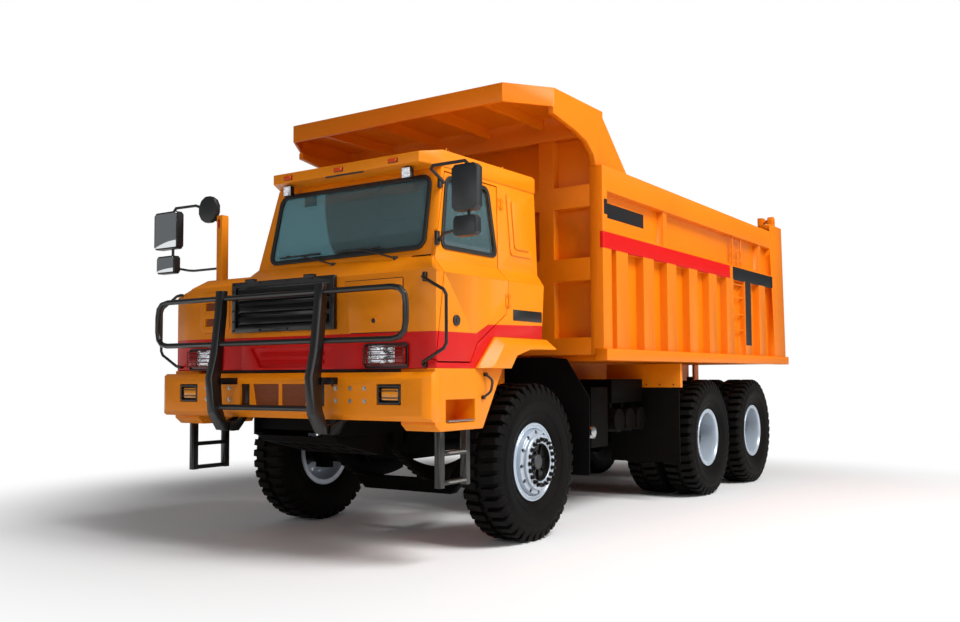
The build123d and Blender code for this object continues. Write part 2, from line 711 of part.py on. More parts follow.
# Cab shell: nose, floor and walls round the hollow cab, with its windows and door opening cut
with BuildPart() as cab_shell:
    across(CAB_SIDE, (CAB_RIGHT, BODY_HALF))
    along(CAB_SECTION, (CAB_REAR - 100, NOSE + 1), mode=Mode.INTERSECT)
    upright(BODY_PLAN, (BODY_LOW - 1, ROOF_LOW + 1), mode=Mode.INTERSECT)
    add(cab_room.part, mode=Mode.SUBTRACT)
    add(side_panel.part)
    along(SCREEN, (SCREEN_HEAD - 150, NOSE), mode=Mode.SUBTRACT, corner=SCREEN_CORNER)
    along(REAR_WINDOW, (CAB_REAR - 10, CAB_REAR + 100), mode=Mode.SUBTRACT, corner=WINDOW_CORNER)
    across(DOOR_OUTLINE, (CAB_LEFT - 250, BODY_HALF + 1), mode=Mode.SUBTRACT)
    across(DOOR_WINDOW, (CAB_RIGHT - 10, CAB_RIGHT + 250), mode=Mode.SUBTRACT, corner=WINDOW_CORNER)
    along(NOSE_LOUVRE, (NOSE - LOUVRE_DEPTH, NOSE + 1), mode=Mode.SUBTRACT)
    for low in (1680, 1752):
        across(
            [(NOSE - LOUVRE_DEPTH - 2, low), (NOSE - 3, low), (NOSE - LOUVRE_DEPTH - 2, low + 44)],
            (-NOSE_LOUVRE[2][0], NOSE_LOUVRE[2][0]),
        )
cab_shell.part.label = "cab_shell"
export_step(cab_shell.part, "parts/cab_shell.step")

# Roof with the visor band that stands out over the windscreen
VISOR_FACE = FRONT_AXLE + 1620
with BuildPart() as cab_roof:
    across(
        [
            (CAB_REAR, ROOF_LOW),
            (CAB_REAR, ROOF_HIGH - 10),
            (CAB_REAR + 40, ROOF_HIGH),
            (SCREEN_HEAD - 10, ROOF_HIGH - 14),
            (VISOR_FACE, ROOF_HIGH - 60),
            (VISOR_FACE, ROOF_LOW + 10),
            (SCREEN_HEAD + 10, ROOF_LOW),
        ],
        (CAB_RIGHT, CAB_LEFT),
    )
    upright(
        [
            (CAB_REAR, CAB_RIGHT_TOP),
            (SCREEN_HEAD - 10, CAB_RIGHT_TOP),
            (VISOR_FACE, CAB_RIGHT_TOP + 150),
            (VISOR_FACE, CAB_LEFT_TOP - 70),
            (SCREEN_HEAD - 10, CAB_LEFT_TOP + 10),
            (CAB_REAR, CAB_LEFT_TOP + 10),
        ],
        (ROOF_LOW - 1, ROOF_HIGH + 1),
        mode=Mode.INTERSECT,
    )
    for eye_x in (FRONT_AXLE + 300, FRONT_AXLE + 1200):
        eye_y = CAB_LEFT_TOP - 90
        across(
            [(eye_x - 40, ROOF_HIGH - 20), (eye_x + 40, ROOF_HIGH - 20), (eye_x + 18, 3545), (eye_x - 18, 3545)],
            (eye_y, eye_y + 14),
        )
        bar((eye_x, eye_y - 1, 3522), (eye_x, eye_y + 15, 3522), 12, mode=Mode.SUBTRACT)
cab_roof.part.label = "cab_roof"
export_step(cab_roof.part, "parts/cab_roof.step")

# Glass of the windscreen, the right side and the rear wall, one pane at a time
with BuildPart() as screen_glass:
    low, high = SHOULDER + 40, ROOF_LOW
    across(
        [
            (screen_x(low) - 6, low),
            (screen_x(high) - 6, high),
            (screen_x(high) - 6 - GLASS, high),
            (screen_x(low) - 6 - GLASS, low),
        ],
        (CAB_RIGHT, CAB_LEFT),
    )
    along(SCREEN, (SCREEN_HEAD - 150, NOSE), Mode.INTERSECT, SCREEN_CORNER - SEAT_GAP, -SEAT_GAP)
with BuildPart() as right_glass:
    along(
        [
            (CAB_RIGHT + GLASS_SET, SHOULDER),
            (CAB_RIGHT_TOP + GLASS_SET, ROOF_LOW),
            (CAB_RIGHT_TOP + GLASS_SET + GLASS, ROOF_LOW),
            (CAB_RIGHT + GLASS_SET + GLASS, SHOULDER),
        ],
        (FRONT_AXLE + 400, NOSE),
    )
    across(DOOR_WINDOW, (CAB_RIGHT, CAB_RIGHT + 250), Mode.INTERSECT, WINDOW_CORNER - SEAT_GAP, -SEAT_GAP)
with BuildPart() as cab_glass:
    add(screen_glass.part)
    add(right_glass.part)
    along(REAR_WINDOW, (CAB_REAR + 12, CAB_REAR + 12 + GLASS), Mode.ADD, WINDOW_CORNER - SEAT_GAP, -SEAT_GAP)
cab_glass.part.label = "cab_glass"
export_step(cab_glass.part, "parts/cab_glass.step")

# Door skin: the cab's left wall inside the door's outline, with its window cut
LEFT_WALL = [
    (BODY_HALF, BODY_LOW),
    (BODY_HALF, BELT),
    (CAB_LEFT, SHOULDER),
    (CAB_LEFT_TOP, ROOF_LOW),
    (CAB_LEFT_TOP - WALL, ROOF_LOW),
    (CAB_LEFT - WALL, SHOULDER - WALL / 2),
    (BODY_HALF - WALL, BELT - WALL / 2),
    (BODY_HALF - WALL, BODY_LOW),
]
DOOR_REACH = BODY_HALF - CAB_LEFT_TOP + 150
with BuildPart() as door:
    along(LEFT_WALL, (FRONT_AXLE + 400, NOSE))
    across(
        DOOR_OUTLINE, (BODY_HALF - DOOR_REACH, BODY_HALF + 1), mode=Mode.INTERSECT, grow=-DOOR_SEAM
    )
    across(DOOR_WINDOW, (CAB_LEFT_TOP - 100, BODY_HALF), mode=Mode.SUBTRACT, corner=WINDOW_CORNER)
door.part.label = "door"
export_step(door.part, "parts/door.step")

with BuildPart() as door_glass:
    along(
        [
            (CAB_LEFT - GLASS_SET, SHOULDER),
            (CAB_LEFT_TOP - GLASS_SET, ROOF_LOW),
            (CAB_LEFT_TOP - GLASS_SET - GLASS, ROOF_LOW),
            (CAB_LEFT - GLASS_SET - GLASS, SHOULDER),
        ],
        (FRONT_AXLE + 400, NOSE),
    )
    across(
        DOOR_WINDOW,
        (BODY_HALF - DOOR_REACH, BODY_HALF),
        Mode.INTERSECT,
        WINDOW_CORNER - SEAT_GAP,
        -SEAT_GAP,
    )
door_glass.part.label = "door_glass"
export_step(door_glass.part, "parts/door_glass.step")

# Two seats on their pedestals; seat: its middle y
FLOOR_STEP = ARCH_LOW + WALL
with BuildPart() as cab_seats:
    for seat_y in (980.0, 60.0):
        block((FRONT_AXLE + 300, FRONT_AXLE + 620), (seat_y - 170, seat_y + 170), (FLOOR_STEP, 2250))
        block((FRONT_AXLE + 230, FRONT_AXLE + 740), (seat_y - 240, seat_y + 240), (2250, 2370))
        across(
            from_axle([(230, 2370), (120, 3020), (20, 3000), (130, 2300), (230, 2300)]),
            (seat_y - 230, seat_y + 230),
        )
cab_seats.part.label = "cab_seats"
export_step(cab_seats.part, "parts/cab_seats.step")

# Dashboard across the cab, and the steering column and wheel before the left seat
with BuildPart() as cab_dash:
    across(
        from_axle([(1150, 2380), (1180, 2520), (1420, 2480), (1420, 2200), (1200, 2200)]),
        (CAB_RIGHT + WALL, CAB_LEFT - WALL - 10),
    )
    rod((FRONT_AXLE + 1200, 980, 2330), (FRONT_AXLE + 940, 980, 2530), 28)
    column = Vector(FRONT_AXLE + 940, 980, 2530)
    with BuildSketch(Plane(column, z_dir=(-260, 0, 200))) as steering_rim:
        RegularPolygon(225, ROD_SIDES)
        RegularPolygon(195, ROD_SIDES, mode=Mode.SUBTRACT)
        Rectangle(400, 40)
    extrude(to_extrude=steering_rim.sketch, amount=28)
cab_dash.part.label = "cab_dash"
export_step(cab_dash.part, "parts/cab_dash.step")

# Fenders over the front wheels: a ledge under the body and a flare outside it
FLARE_OUT = 1700.0
with BuildPart() as fenders:
    arch = [
        (ARCH_FRONT, BODY_LOW),
        (ARCH_KNEE, ARCH_LOW),
        (FRONT_AXLE, ARCH_LOW),
        (FRONT_AXLE - 59, ARCH_LOW),
        (FRONT_AXLE - 119, ARCH_LOW - 60),
        (FRONT_AXLE - 119, ARCH_LOW - 95),
        (FRONT_AXLE + 352, ARCH_LOW - 100),
        (FRONT_AXLE + 600, ARCH_LOW - 160),
        (FRONT_AXLE + 700, BODY_LOW),
    ]
    across(arch, (1300, BODY_HALF + 20))
    with BuildSketch(Plane.XZ.offset(-BODY_HALF - 20)) as flare_root:
        with BuildLine():
            Polyline(*arch, close=True)
        make_face()
    with BuildSketch(Plane.XZ.offset(-FLARE_OUT)) as flare_edge:
        with BuildLine():
            Polyline(
                (ARCH_FRONT - 146, BODY_LOW),
                (ARCH_KNEE - 20, ARCH_LOW - 66),
                (FRONT_AXLE + 5, ARCH_LOW - 66),
                (FRONT_AXLE - 54, ARCH_LOW - 66),
                (FRONT_AXLE - 105, ARCH_LOW - 85),
                (FRONT_AXLE - 105, ARCH_LOW - 95),
                (FRONT_AXLE + 352, ARCH_LOW - 100),
                (FRONT_AXLE + 600, ARCH_LOW - 160),
                (FRONT_AXLE + 700, BODY_LOW),
                close=True,
            )
        make_face()
    loft(sections=[flare_root.sketch, flare_edge.sketch], ruled=True)
    mirror(about=Plane.XZ)
fenders.part.label = "fenders"
export_step(fenders.part, "parts/fenders.step")

# Step boxes behind the bumper, each with a step pocket
STEP_LOW = 1115.0
STEP_DEPTH = 350.0
with BuildPart() as step_boxes:
    across(
        from_axle([(1700, BODY_LOW), (1700, 1170), (1633, STEP_LOW), (1011, STEP_LOW), (686, BODY_LOW)]),
        (BODY_HALF - STEP_DEPTH, BODY_HALF),
    )
    block(
        (FRONT_AXLE + 1130, FRONT_AXLE + 1550),
        (BODY_HALF - 220, BODY_HALF + 1),
        (1184, 1371),
        mode=Mode.SUBTRACT,
    )
    mirror(about=Plane.XZ)
step_boxes.part.label = "step_boxes"
export_step(step_boxes.part, "parts/step_boxes.step")

# Ladders under the step boxes; ladder: side, rear post, front post, foot height, tread heights
ladder_table = (
    (1, 1240, 1600, 660, (934, 700)),
    (-1, 1090, 1490, 645, (900, 667)),
)
with BuildPart() as ladders:
    for side, rear_post, front_post, foot, treads in ladder_table:
        outer = side * BODY_HALF
        inner = side * (BODY_HALF - 60)
        span = (min(outer, inner), max(outer, inner))
        for post in (rear_post, front_post):
            block((FRONT_AXLE + post - 30, FRONT_AXLE + post + 30), span, (foot, STEP_LOW))
        for tread in treads:
            block((FRONT_AXLE + rear_post, FRONT_AXLE + front_post), span, (tread - 18, tread + 18))
ladders.part.label = "ladders"
export_step(ladders.part, "parts/ladders.step")

# Mudguards: a black sheet behind each front wheel, and a plate with a rubber flap before the middle wheels
FLAP_X = MID_AXLE + 1061
with BuildPart() as mudguards:
    along(
        [(600, 1760), (1155, 1760), (1363, 1740), (1630, 1337), (1620, 540), (850, 540), (600, 900)],
        (FRONT_AXLE - 925, FRONT_AXLE - 905),
    )
    block((FRONT_AXLE - 925, FRONT_AXLE - 865), (RAIL_Y, 640), (1200, 1280))
    block((FLAP_X - 60, FLAP_X), (720, 1700), (1418, 1697))
    block((FLAP_X - 30, FLAP_X - 15), (760, 1680), (490, 1418))
    block((FLAP_X - 60, FLAP_X), (RAIL_Y, 720), (1250, 1330))
    block((FLAP_X - 60, FLAP_X), (660, 760), (1250, 1500))
    mirror(about=Plane.XZ)
mudguards.part.label = "mudguards"
export_step(mudguards.part, "parts/mudguards.step")

# Mirrors on both sides: arms, large and small heads, and the post on the right deck
MIRROR_OUT = 2040.0
with BuildPart() as mirrors:
    mirror_x = FRONT_AXLE + 1700
    slab((mirror_x - 40, mirror_x + 40), (1800, MIRROR_OUT), (2870, 3240), 30)
    slab((mirror_x - 35, mirror_x + 35), (1810, 2030), (2670, 2830), 25)
    tube(
        [
            (screen_x(3200) - 30, CAB_LEFT_TOP + 20, 3200),
            (mirror_x - 60, 1500, 3290),
            (mirror_x - 60, 1900, 3290),
            (mirror_x - 60, 1900, 2720),
        ],
        28,
        40,
    )
    block((mirror_x - 70, mirror_x - 34), (1880, 1920), (2730, 2770))
    block((mirror_x - 70, mirror_x - 39), (1880, 1920), (3000, 3060))
    tube(
        [(screen_x(2700) - 30, CAB_LEFT + 3, 2700), (mirror_x - 60, 1640, 2720), (mirror_x - 60, 1880, 2750)],
        24,
        40,
    )
    right_x = FRONT_AXLE + 1600
    slab((right_x - 40, right_x + 40), (-MIRROR_OUT, -1680), (2870, 3250), 30)
    slab((right_x - 35, right_x + 35), (-2000, -1720), (2620, 2800), 25)
    arm_foot = -MIRROR_POST_Y - 40 - SEAT_GAP
    tube(
        [
            (MIRROR_POST_X, arm_foot, 3120),
            (MIRROR_POST_X, arm_foot - 80, 3120),
            (MIRROR_POST_X, -1500, 3300),
            (right_x - 55, -1860, 3300),
            (right_x - 55, -1860, 2680),
        ],
        28,
        40,
    )
    block((right_x - 70, right_x - 34), (-1880, -1840), (2690, 2730))
    block((right_x - 70, right_x - 39), (-1880, -1840), (3000, 3060))
    tube([(MIRROR_POST_X, arm_foot, 2640), (MIRROR_POST_X, -1600, 2640), (right_x - 55, -1860, 2690)], 24, 40)
    rod((MIRROR_POST_X + 8, -1300, 3230), (MIRROR_POST_X + 56, -1300, 3230), 130)
mirrors.part.label = "mirrors"
export_step(mirrors.part, "parts/mirrors.step")

# Grab handles that stand out from the corners of the nose
HANDLE_Y = 1500.0
HANDLE_OUT = 1755.0
HANDLE_TUBE = 28.0
handle_face = NOSE - (NOSE - NOSE_CORNER) * (HANDLE_Y - HANDLE_TUBE / 2 - NOSE_HALF) / (BODY_HALF - NOSE_HALF)
with BuildPart() as handrails:
    handle_x = NOSE + 35
    for side in (-1, 1):
        tube(
            [
                (handle_face + SEAT_GAP, side * HANDLE_Y, 2376),
                (handle_x, side * HANDLE_Y, 2376),
                (handle_x, side * HANDLE_OUT, 2240),
                (handle_x, side * HANDLE_OUT, 1800),
                (handle_x, side * HANDLE_Y, 1665),
                (handle_face + SEAT_GAP, side * HANDLE_Y, 1665),
            ],
            HANDLE_TUBE,
            28,
        )
handrails.part.label = "handrails"
export_step(handrails.part, "parts/handrails.step")

# Tanks and boxes along the rails
with BuildPart() as side_tanks:
    for reservoir_x in (-2300, -2600, -2900):
        rod((FRONT_AXLE + reservoir_x, 640, 1040), (FRONT_AXLE + reservoir_x, 1300, 1040), 135)
        for hanger_y in (720, 1160):
            block(
                (FRONT_AXLE + reservoir_x - 40, FRONT_AXLE + reservoir_x + 40),
                (hanger_y, hanger_y + 30),
                (1100, 1240),
            )
    block((FRONT_AXLE - 3050, FRONT_AXLE - 2200), (RAIL_Y, 1250), (1240, 1516))
    block((FRONT_AXLE - 2030, FRONT_AXLE - 1620), (RAIL_Y, 1280), (760, 1430))
    with BuildSketch(Plane.XZ.offset(540)) as fuel_section:
        with Locations((FRONT_AXLE - 2050, 1060)):
            Rectangle(1500, 700)
        chamfer(fuel_section.vertices(), 90)
    extrude(to_extrude=fuel_section.sketch, amount=800)
    for strap in (-2550, -1550):
        block((FRONT_AXLE + strap - 40, FRONT_AXLE + strap + 40), (-540, -RAIL_Y), (1060, 1340))
side_tanks.part.label = "side_tanks"
export_step(side_tanks.part, "parts/side_tanks.step")

# Exhaust: silencer across the frame behind the front wheel, with its tail pipe
with BuildPart() as exhaust:
    rod((FRONT_AXLE - 1260, RAIL_Y, 980), (FRONT_AXLE - 1260, 1250, 980), 150)
    bar((FRONT_AXLE - 1260, 1250, 960), (FRONT_AXLE - 1260, 1500, 960), 60)
    bar((FRONT_AXLE - 1260, 1251, 960), (FRONT_AXLE - 1260, 1501, 960), 54, mode=Mode.SUBTRACT)
exhaust.part.label = "exhaust"
export_step(exhaust.part, "parts/exhaust.step")

# Grille: a frame with hinge tabs on top, and slanted louvres with an angled end over its mesh
GRILLE_THICK = 40.0
GRILLE_Y = (-725, 561)
GRILLE_Z = (1976, 2445)
GRILLE_RIM = 50.0
LOUVRE_STAND = 26.0           # louvre's edge ahead of the frame
with BuildPart() as louvres:
    louvre_y = (GRILLE_Y[0] + GRILLE_RIM, GRILLE_Y[1] - GRILLE_RIM - 30)
    louvre_x = (NOSE + 10, NOSE + GRILLE_THICK + LOUVRE_STAND)
    for low in (2040, 2150, 2260):
        across(
            [(louvre_x[0], low), (louvre_x[1], low + 12), (louvre_x[1], low + 30), (louvre_x[0], low + 78)],
            louvre_y,
        )
    upright(
        [(louvre_x[0], louvre_y[0]), (louvre_x[1] + 9, louvre_y[0] - 1), (louvre_x[1] + 9, louvre_y[0] + 110)],
        GRILLE_Z,
        mode=Mode.SUBTRACT,
    )
with BuildPart() as grille:
    block((NOSE, NOSE + GRILLE_THICK), GRILLE_Y, GRILLE_Z)
    block(
        (NOSE + 12, NOSE + GRILLE_THICK + 1),
        (GRILLE_Y[0] + GRILLE_RIM, GRILLE_Y[1] - GRILLE_RIM),
        (GRILLE_Z[0] + GRILLE_RIM, GRILLE_Z[1] - GRILLE_RIM),
        mode=Mode.SUBTRACT,
    )
    add(louvres.part)
    for tab_y in (-480, 265):
        block((NOSE + 8, NOSE + GRILLE_THICK + 8), (tab_y - 60, tab_y + 60), (GRILLE_Z[1] - 4, GRILLE_Z[1] + 24))
grille.part.label = "grille"
export_step(grille.part, "parts/grille.step")

# Lid on the left of the nose
with BuildPart() as hatch_lid:
    along([(662, 2375), (724, 1935), (1290, 1935), (1290, 2375)], (NOSE, NOSE + 16))
    rod((NOSE + 15, 993, 2032), (NOSE + 24, 993, 2032), 26)
hatch_lid.part.label = "hatch_lid"
export_step(hatch_lid.part, "parts/hatch_lid.step")

# Lamps: headlamps and bumper lamps behind their guard bars, roof markers and work lamps
LENS_DEPTH = 36.0
GUARD_STAND = 58.0            # guard bars ahead of the nose
GUARD_BAR = 9.0
with BuildPart() as lamps:
    for side in (-1, 1):
        guard_y = sorted((side * 888, side * 1349))
        lens_y = sorted((side * 946, side * 1214))
        slab((NOSE, NOSE + 10), guard_y, (1636, 1836), 20)
        slab((NOSE + 9, NOSE + LENS_DEPTH), lens_y, (1668, 1820), 22)
        for end_y in (guard_y[0] + 12, guard_y[1] - 12 - GUARD_BAR):
            block((NOSE + 9, NOSE + GUARD_STAND), (end_y, end_y + GUARD_BAR), (1655, 1817))
        for bar_z in (1690, 1738, 1786):
            block(
                (NOSE + GUARD_STAND - GUARD_BAR, NOSE + GUARD_STAND),
                (guard_y[0] + 12, guard_y[1] - 12),
                (bar_z, bar_z + GUARD_BAR),
            )
        lamp_y = sorted((side * 1130, side * 1336))
        slab((BUMPER_FACE - 60, BUMPER_FACE - 12), lamp_y, (1358, 1478), 18)
        for bar_z in (1385, 1414, 1443):
            block((BUMPER_FACE - 13, BUMPER_FACE), lamp_y, (bar_z, bar_z + GUARD_BAR))
    cab_middle = (CAB_LEFT_TOP + CAB_RIGHT_TOP) / 2
    for offset_y in (-620, 0, 620):
        slab(
            (VISOR_FACE, VISOR_FACE + 22),
            (cab_middle + offset_y - 50, cab_middle + offset_y + 50),
            (ROOF_LOW + 35, ROOF_LOW + 70),
            10,
        )
    for lamp_y in (-201, 1204):
        slab((FRONT_AXLE + 1520, FRONT_AXLE + 1580), (lamp_y - 48, lamp_y + 48), (3240, 3334), 10)
        block((FRONT_AXLE + 1540, FRONT_AXLE + 1560), (lamp_y - 12, lamp_y + 12), (3330, 3346))
lamps.part.label = "lamps"
export_step(lamps.part, "parts/lamps.step")

# Steering knuckles: kingpin, fork and spindle
with BuildPart() as knuckle_left:
    pin_foot = (FRONT_AXLE, KINGPIN_Y)
    lug = 45.0
    bar((*pin_foot, BOSS_LOW - 5), (*pin_foot, BOSS_HIGH + 5), KINGPIN_R)
    for low in (BOSS_LOW - 5 - lug, BOSS_HIGH + 5):
        rod((*pin_foot, low), (*pin_foot, low + lug), KINGPIN_BOSS_R)
        block((FRONT_AXLE - 60, FRONT_AXLE + 60), (KINGPIN_Y, KINGPIN_Y + 110), (low, low + lug))
    block(
        (FRONT_AXLE - 60, FRONT_AXLE + 60),
        (KINGPIN_Y + KINGPIN_BOSS_R + 8, KINGPIN_Y + 110),
        (BOSS_LOW - 5 - lug, BOSS_HIGH + 5 + lug),
    )
    bar((FRONT_AXLE, KINGPIN_Y + 110, TYRE_R), (FRONT_AXLE, 1440, TYRE_R), SPINDLE_R)
knuckle_left.part.label = "knuckle_left"
export_step(knuckle_left.part, "parts/knuckle_left.step")

with BuildPart() as knuckle_right:
    mirror(knuckle_left.part, about=Plane.XZ)
knuckle_right.part.label = "knuckle_right"
export_step(knuckle_right.part, "parts/knuckle_right.step")

# Hubs, (outboard of the outer tyre's middle, half across flats)
SPINDLE_BORE = SPINDLE_R + RUNNING_GAP
HAND_HOLES = 10
HAND_HOLE_R = 15.0
HAND_HOLE_RING = 262.0
DISC_FRONT = 40.0             # front wheel's disc, outboard of the tyre's middle
DISC_THICK = 16.0
NUT_FACE = 128.0              # face that carries the nuts
NUT_FACE_R = 208.0
HUB_WELL_R = 150.0
HUB_CAP_R = 78.0
REAR_DISC = -265.0            # rear wheel's disc, from the outer tyre's middle


def reach_at(inner, outer, distance):
    """Radius at a distance on the straight line through two (distance, radius) points."""
    share = (distance - inner[0]) / (outer[0] - inner[0])
    return inner[1] + share * (outer[1] - inner[1])


def tyre_body(x, side, y):
    """One tyre: a carcass with a lug on each flat, its shoulders, walls and bore cut as many-sided cones."""
    tread_plane = Plane((x, side * (y - TYRE_HALF - 4), TYRE_R), x_dir=(0, 0, 1), z_dir=(0, side, 0))
    with BuildSketch(tread_plane) as tread:
        RegularPolygon(TYRE_R - LUG_HEIGHT, WHEEL_SIDES, major_radius=False, rotation=180 / WHEEL_SIDES)
        with PolarLocations(TYRE_R - LUG_HEIGHT / 2 - 3, WHEEL_SIDES):
            Rectangle(LUG_HEIGHT + 6, LUG_WIDTH)
    extrude(to_extrude=tread.sketch, amount=2 * TYRE_HALF + 8)
    bulge = (TYRE_HALF, BULGE_R)
    lug_end = (TREAD_HALF, TYRE_R)
    bead = (RIM_HALF - RIM_WALL - SEAT_GAP, FLANGE_R + BEAD_TOE)
    outside = TYRE_HALF + 4
    cover = [(reach, reach_at(bulge, lug_end, reach)) for reach in (outside, TREAD_HALF - 10)]
    wall = [(bead[0], bead[1]), (outside, reach_at(bead, bulge, outside))]
    drum(
        x,
        side,
        [(y - reach, radius) for reach, radius in cover]
        + [(y + reach, radius) for reach, radius in reversed(cover)],
        Mode.INTERSECT,
    )
    drum(x, side, [(y + reach, radius) for reach, radius in wall], Mode.SUBTRACT)
    drum(x, side, [(y - reach, radius) for reach, radius in reversed(wall)], Mode.SUBTRACT)
    bore = BEAD_R + SEAT_GAP
    drum(x, side, [(y - outside, bore), (y + outside, bore)], Mode.SUBTRACT)


def rim(x, side, y):
    """A rim with a flange at each edge, before its inside is cut."""
    drum(x, side, [(y - RIM_HALF, BEAD_R), (y + RIM_HALF, BEAD_R)])
    drum(x, side, [(y - RIM_HALF, FLANGE_R), (y - RIM_HALF + RIM_WALL, FLANGE_R)])
    drum(x, side, [(y + RIM_HALF - RIM_WALL, FLANGE_R), (y + RIM_HALF, FLANGE_R)])


# Wheel: name, axle x, side, distances of its tyres from the centre line
wheel_table = (
    ("front_left", FRONT_AXLE, 1, (FRONT_TYRE_Y,)),
    ("front_right", FRONT_AXLE, -1, (FRONT_TYRE_Y,)),
    ("mid_left", MID_AXLE, 1, (DUAL_OUTER_Y - DUAL_PITCH, DUAL_OUTER_Y)),
    ("mid_right", MID_AXLE, -1, (DUAL_OUTER_Y - DUAL_PITCH, DUAL_OUTER_Y)),
    ("rear_left", REAR_AXLE, 1, (DUAL_OUTER_Y - DUAL_PITCH, DUAL_OUTER_Y)),
    ("rear_right", REAR_AXLE, -1, (DUAL_OUTER_Y - DUAL_PITCH, DUAL_OUTER_Y)),
)
for name, axle_x, side, tyre_ys in wheel_table:
    tyres = []
    for tyre_y in tyre_ys:
        with BuildPart() as one_tyre:
            tyre_body(axle_x, side, tyre_y)
        tyres.append(one_tyre.part)
    with BuildPart() as tyre:
        add(tyres)
    tyre.part.label = f"tyre_{name}"
    export_step(tyre.part, f"parts/tyre_{name}.step")

    inner, outer = tyre_ys[0], tyre_ys[-1]
    with BuildPart() as wheel:
        for tyre_y in tyre_ys:
            rim(axle_x, side, tyre_y)
        if inner < outer:
            drum(axle_x, side, [(inner + RIM_HALF, BEAD_R), (outer - RIM_HALF, BEAD_R)])
        well = BEAD_R - RIM_WALL
        drum(axle_x, side, [(inner - RIM_HALF - 1, well), (outer + RIM_HALF + 1, well)], Mode.SUBTRACT)
        if inner == outer:
            disc = outer + DISC_FRONT
            drum(axle_x, side, [(disc, well + 2), (disc + DISC_THICK, well + 2)])
            with BuildSketch(
                Plane((axle_x, side * (disc - 1), TYRE_R), x_dir=(0, 0, 1), z_dir=(0, side, 0))
            ) as hand_holes:
                with PolarLocations(HAND_HOLE_RING, HAND_HOLES):
                    RegularPolygon(HAND_HOLE_R, TUBE_SIDES)
            extrude(to_extrude=hand_holes.sketch, amount=DISC_THICK + 2, mode=Mode.SUBTRACT)
            drum(axle_x, side, [(disc, NUT_FACE_R + 12), (outer + NUT_FACE, NUT_FACE_R)])
            drum(
                axle_x,
                side,
                [(outer + NUT_FACE - 45, HUB_WELL_R), (outer + NUT_FACE + 1, HUB_WELL_R)],
                Mode.SUBTRACT,
            )
            cap_end = (axle_x, side * (outer + NUT_FACE + 6), TYRE_R)
            rod((axle_x, side * (disc - 1), TYRE_R), cap_end, HUB_CAP_R)
            rod((axle_x, side * (outer - 45), TYRE_R), (axle_x, side * disc, TYRE_R), HUB_R - 20)
            bore = (outer - 46, outer + NUT_FACE - 30)
        else:
            disc = outer + REAR_DISC
            drum(axle_x, side, [(disc, well + 2), (disc + 2 * DISC_THICK, well + 2)])
            rod((axle_x, side * (outer - 650), TYRE_R), (axle_x, side * (outer - 30), TYRE_R), HUB_R)
            rod((axle_x, side * (outer - 30), TYRE_R), (axle_x, side * (outer + 20), TYRE_R), HUB_R, HUB_R - 30)
            bore = (outer - 651, outer + 5)
        bar((axle_x, side * bore[0], TYRE_R), (axle_x, side * bore[1], TYRE_R), SPINDLE_BORE, mode=Mode.SUBTRACT)
    wheel.part.label = f"wheel_{name}"
    export_step(wheel.part, f"parts/wheel_{name}.step")

# Bed floor: plate, side sills, cross beams and the two long beams that lie on the frame
BEAM_GAP = 5.0                # long beam over the frame's rail
EAR_HALF = 85.0
with BuildPart() as bed_floor:
    floor_half = BED_WALL_OUT - BED_WALL
    floor_front = BED_FRONT - BED_BEAM_DEPTH - FRONT_PANEL
    block((BED_TAIL, floor_front), (-floor_half, floor_half), (FLOOR_HIGH - FLOOR_PLATE, FLOOR_HIGH))
    beam_front = BED_FRONT - 30
    beam_rear = BED_PIVOT_X + 300
    block((beam_rear, beam_front), (RAIL_Y - 100, RAIL_Y), (RAIL_TOP + BEAM_GAP, FLOOR_HIGH - FLOOR_PLATE))
    block((BED_TAIL, BED_FRONT + 6), (BED_WALL_OUT, SILL_OUT), (FLOOR_LOW, FLOOR_HIGH))
    ear_top = FLOOR_HIGH - FLOOR_PLATE
    for ear_y in (RAIL_Y + 7, RAIL_Y - RAIL_FLANGE - 47):
        block((BED_PIVOT_X - EAR_HALF, BED_PIVOT_X + EAR_HALF), (ear_y, ear_y + 40), (BED_PIVOT_Z, ear_top))
        rod((BED_PIVOT_X, ear_y, BED_PIVOT_Z), (BED_PIVOT_X, ear_y + 40, BED_PIVOT_Z), EAR_HALF)
    bar(
        (BED_PIVOT_X, RAIL_Y - RAIL_FLANGE - 47, BED_PIVOT_Z),
        (BED_PIVOT_X, RAIL_Y + 47, BED_PIVOT_Z),
        BED_PIN_R,
    )
    mirror(about=Plane.XZ)
    for number in range(9):
        beam_x = BED_FRONT - 120 - number * 690
        block((beam_x - 60, beam_x), (-BED_WALL_OUT, BED_WALL_OUT), (FLOOR_LOW, FLOOR_HIGH - FLOOR_PLATE))
bed_floor.part.label = "bed_floor"
export_step(bed_floor.part, "parts/bed_floor.step")

# Hinge line of the tailgate
GATE_HINGE_X = FRONT_AXLE - 7000
GATE_HINGE_Z = 3960.0
GATE_PIN_R = 30.0
GATE_LUG_R = 70.0

# Bed side walls: panel, ribs, middle band, top rail, front and tail posts
RIB_WIDTH = 280.0
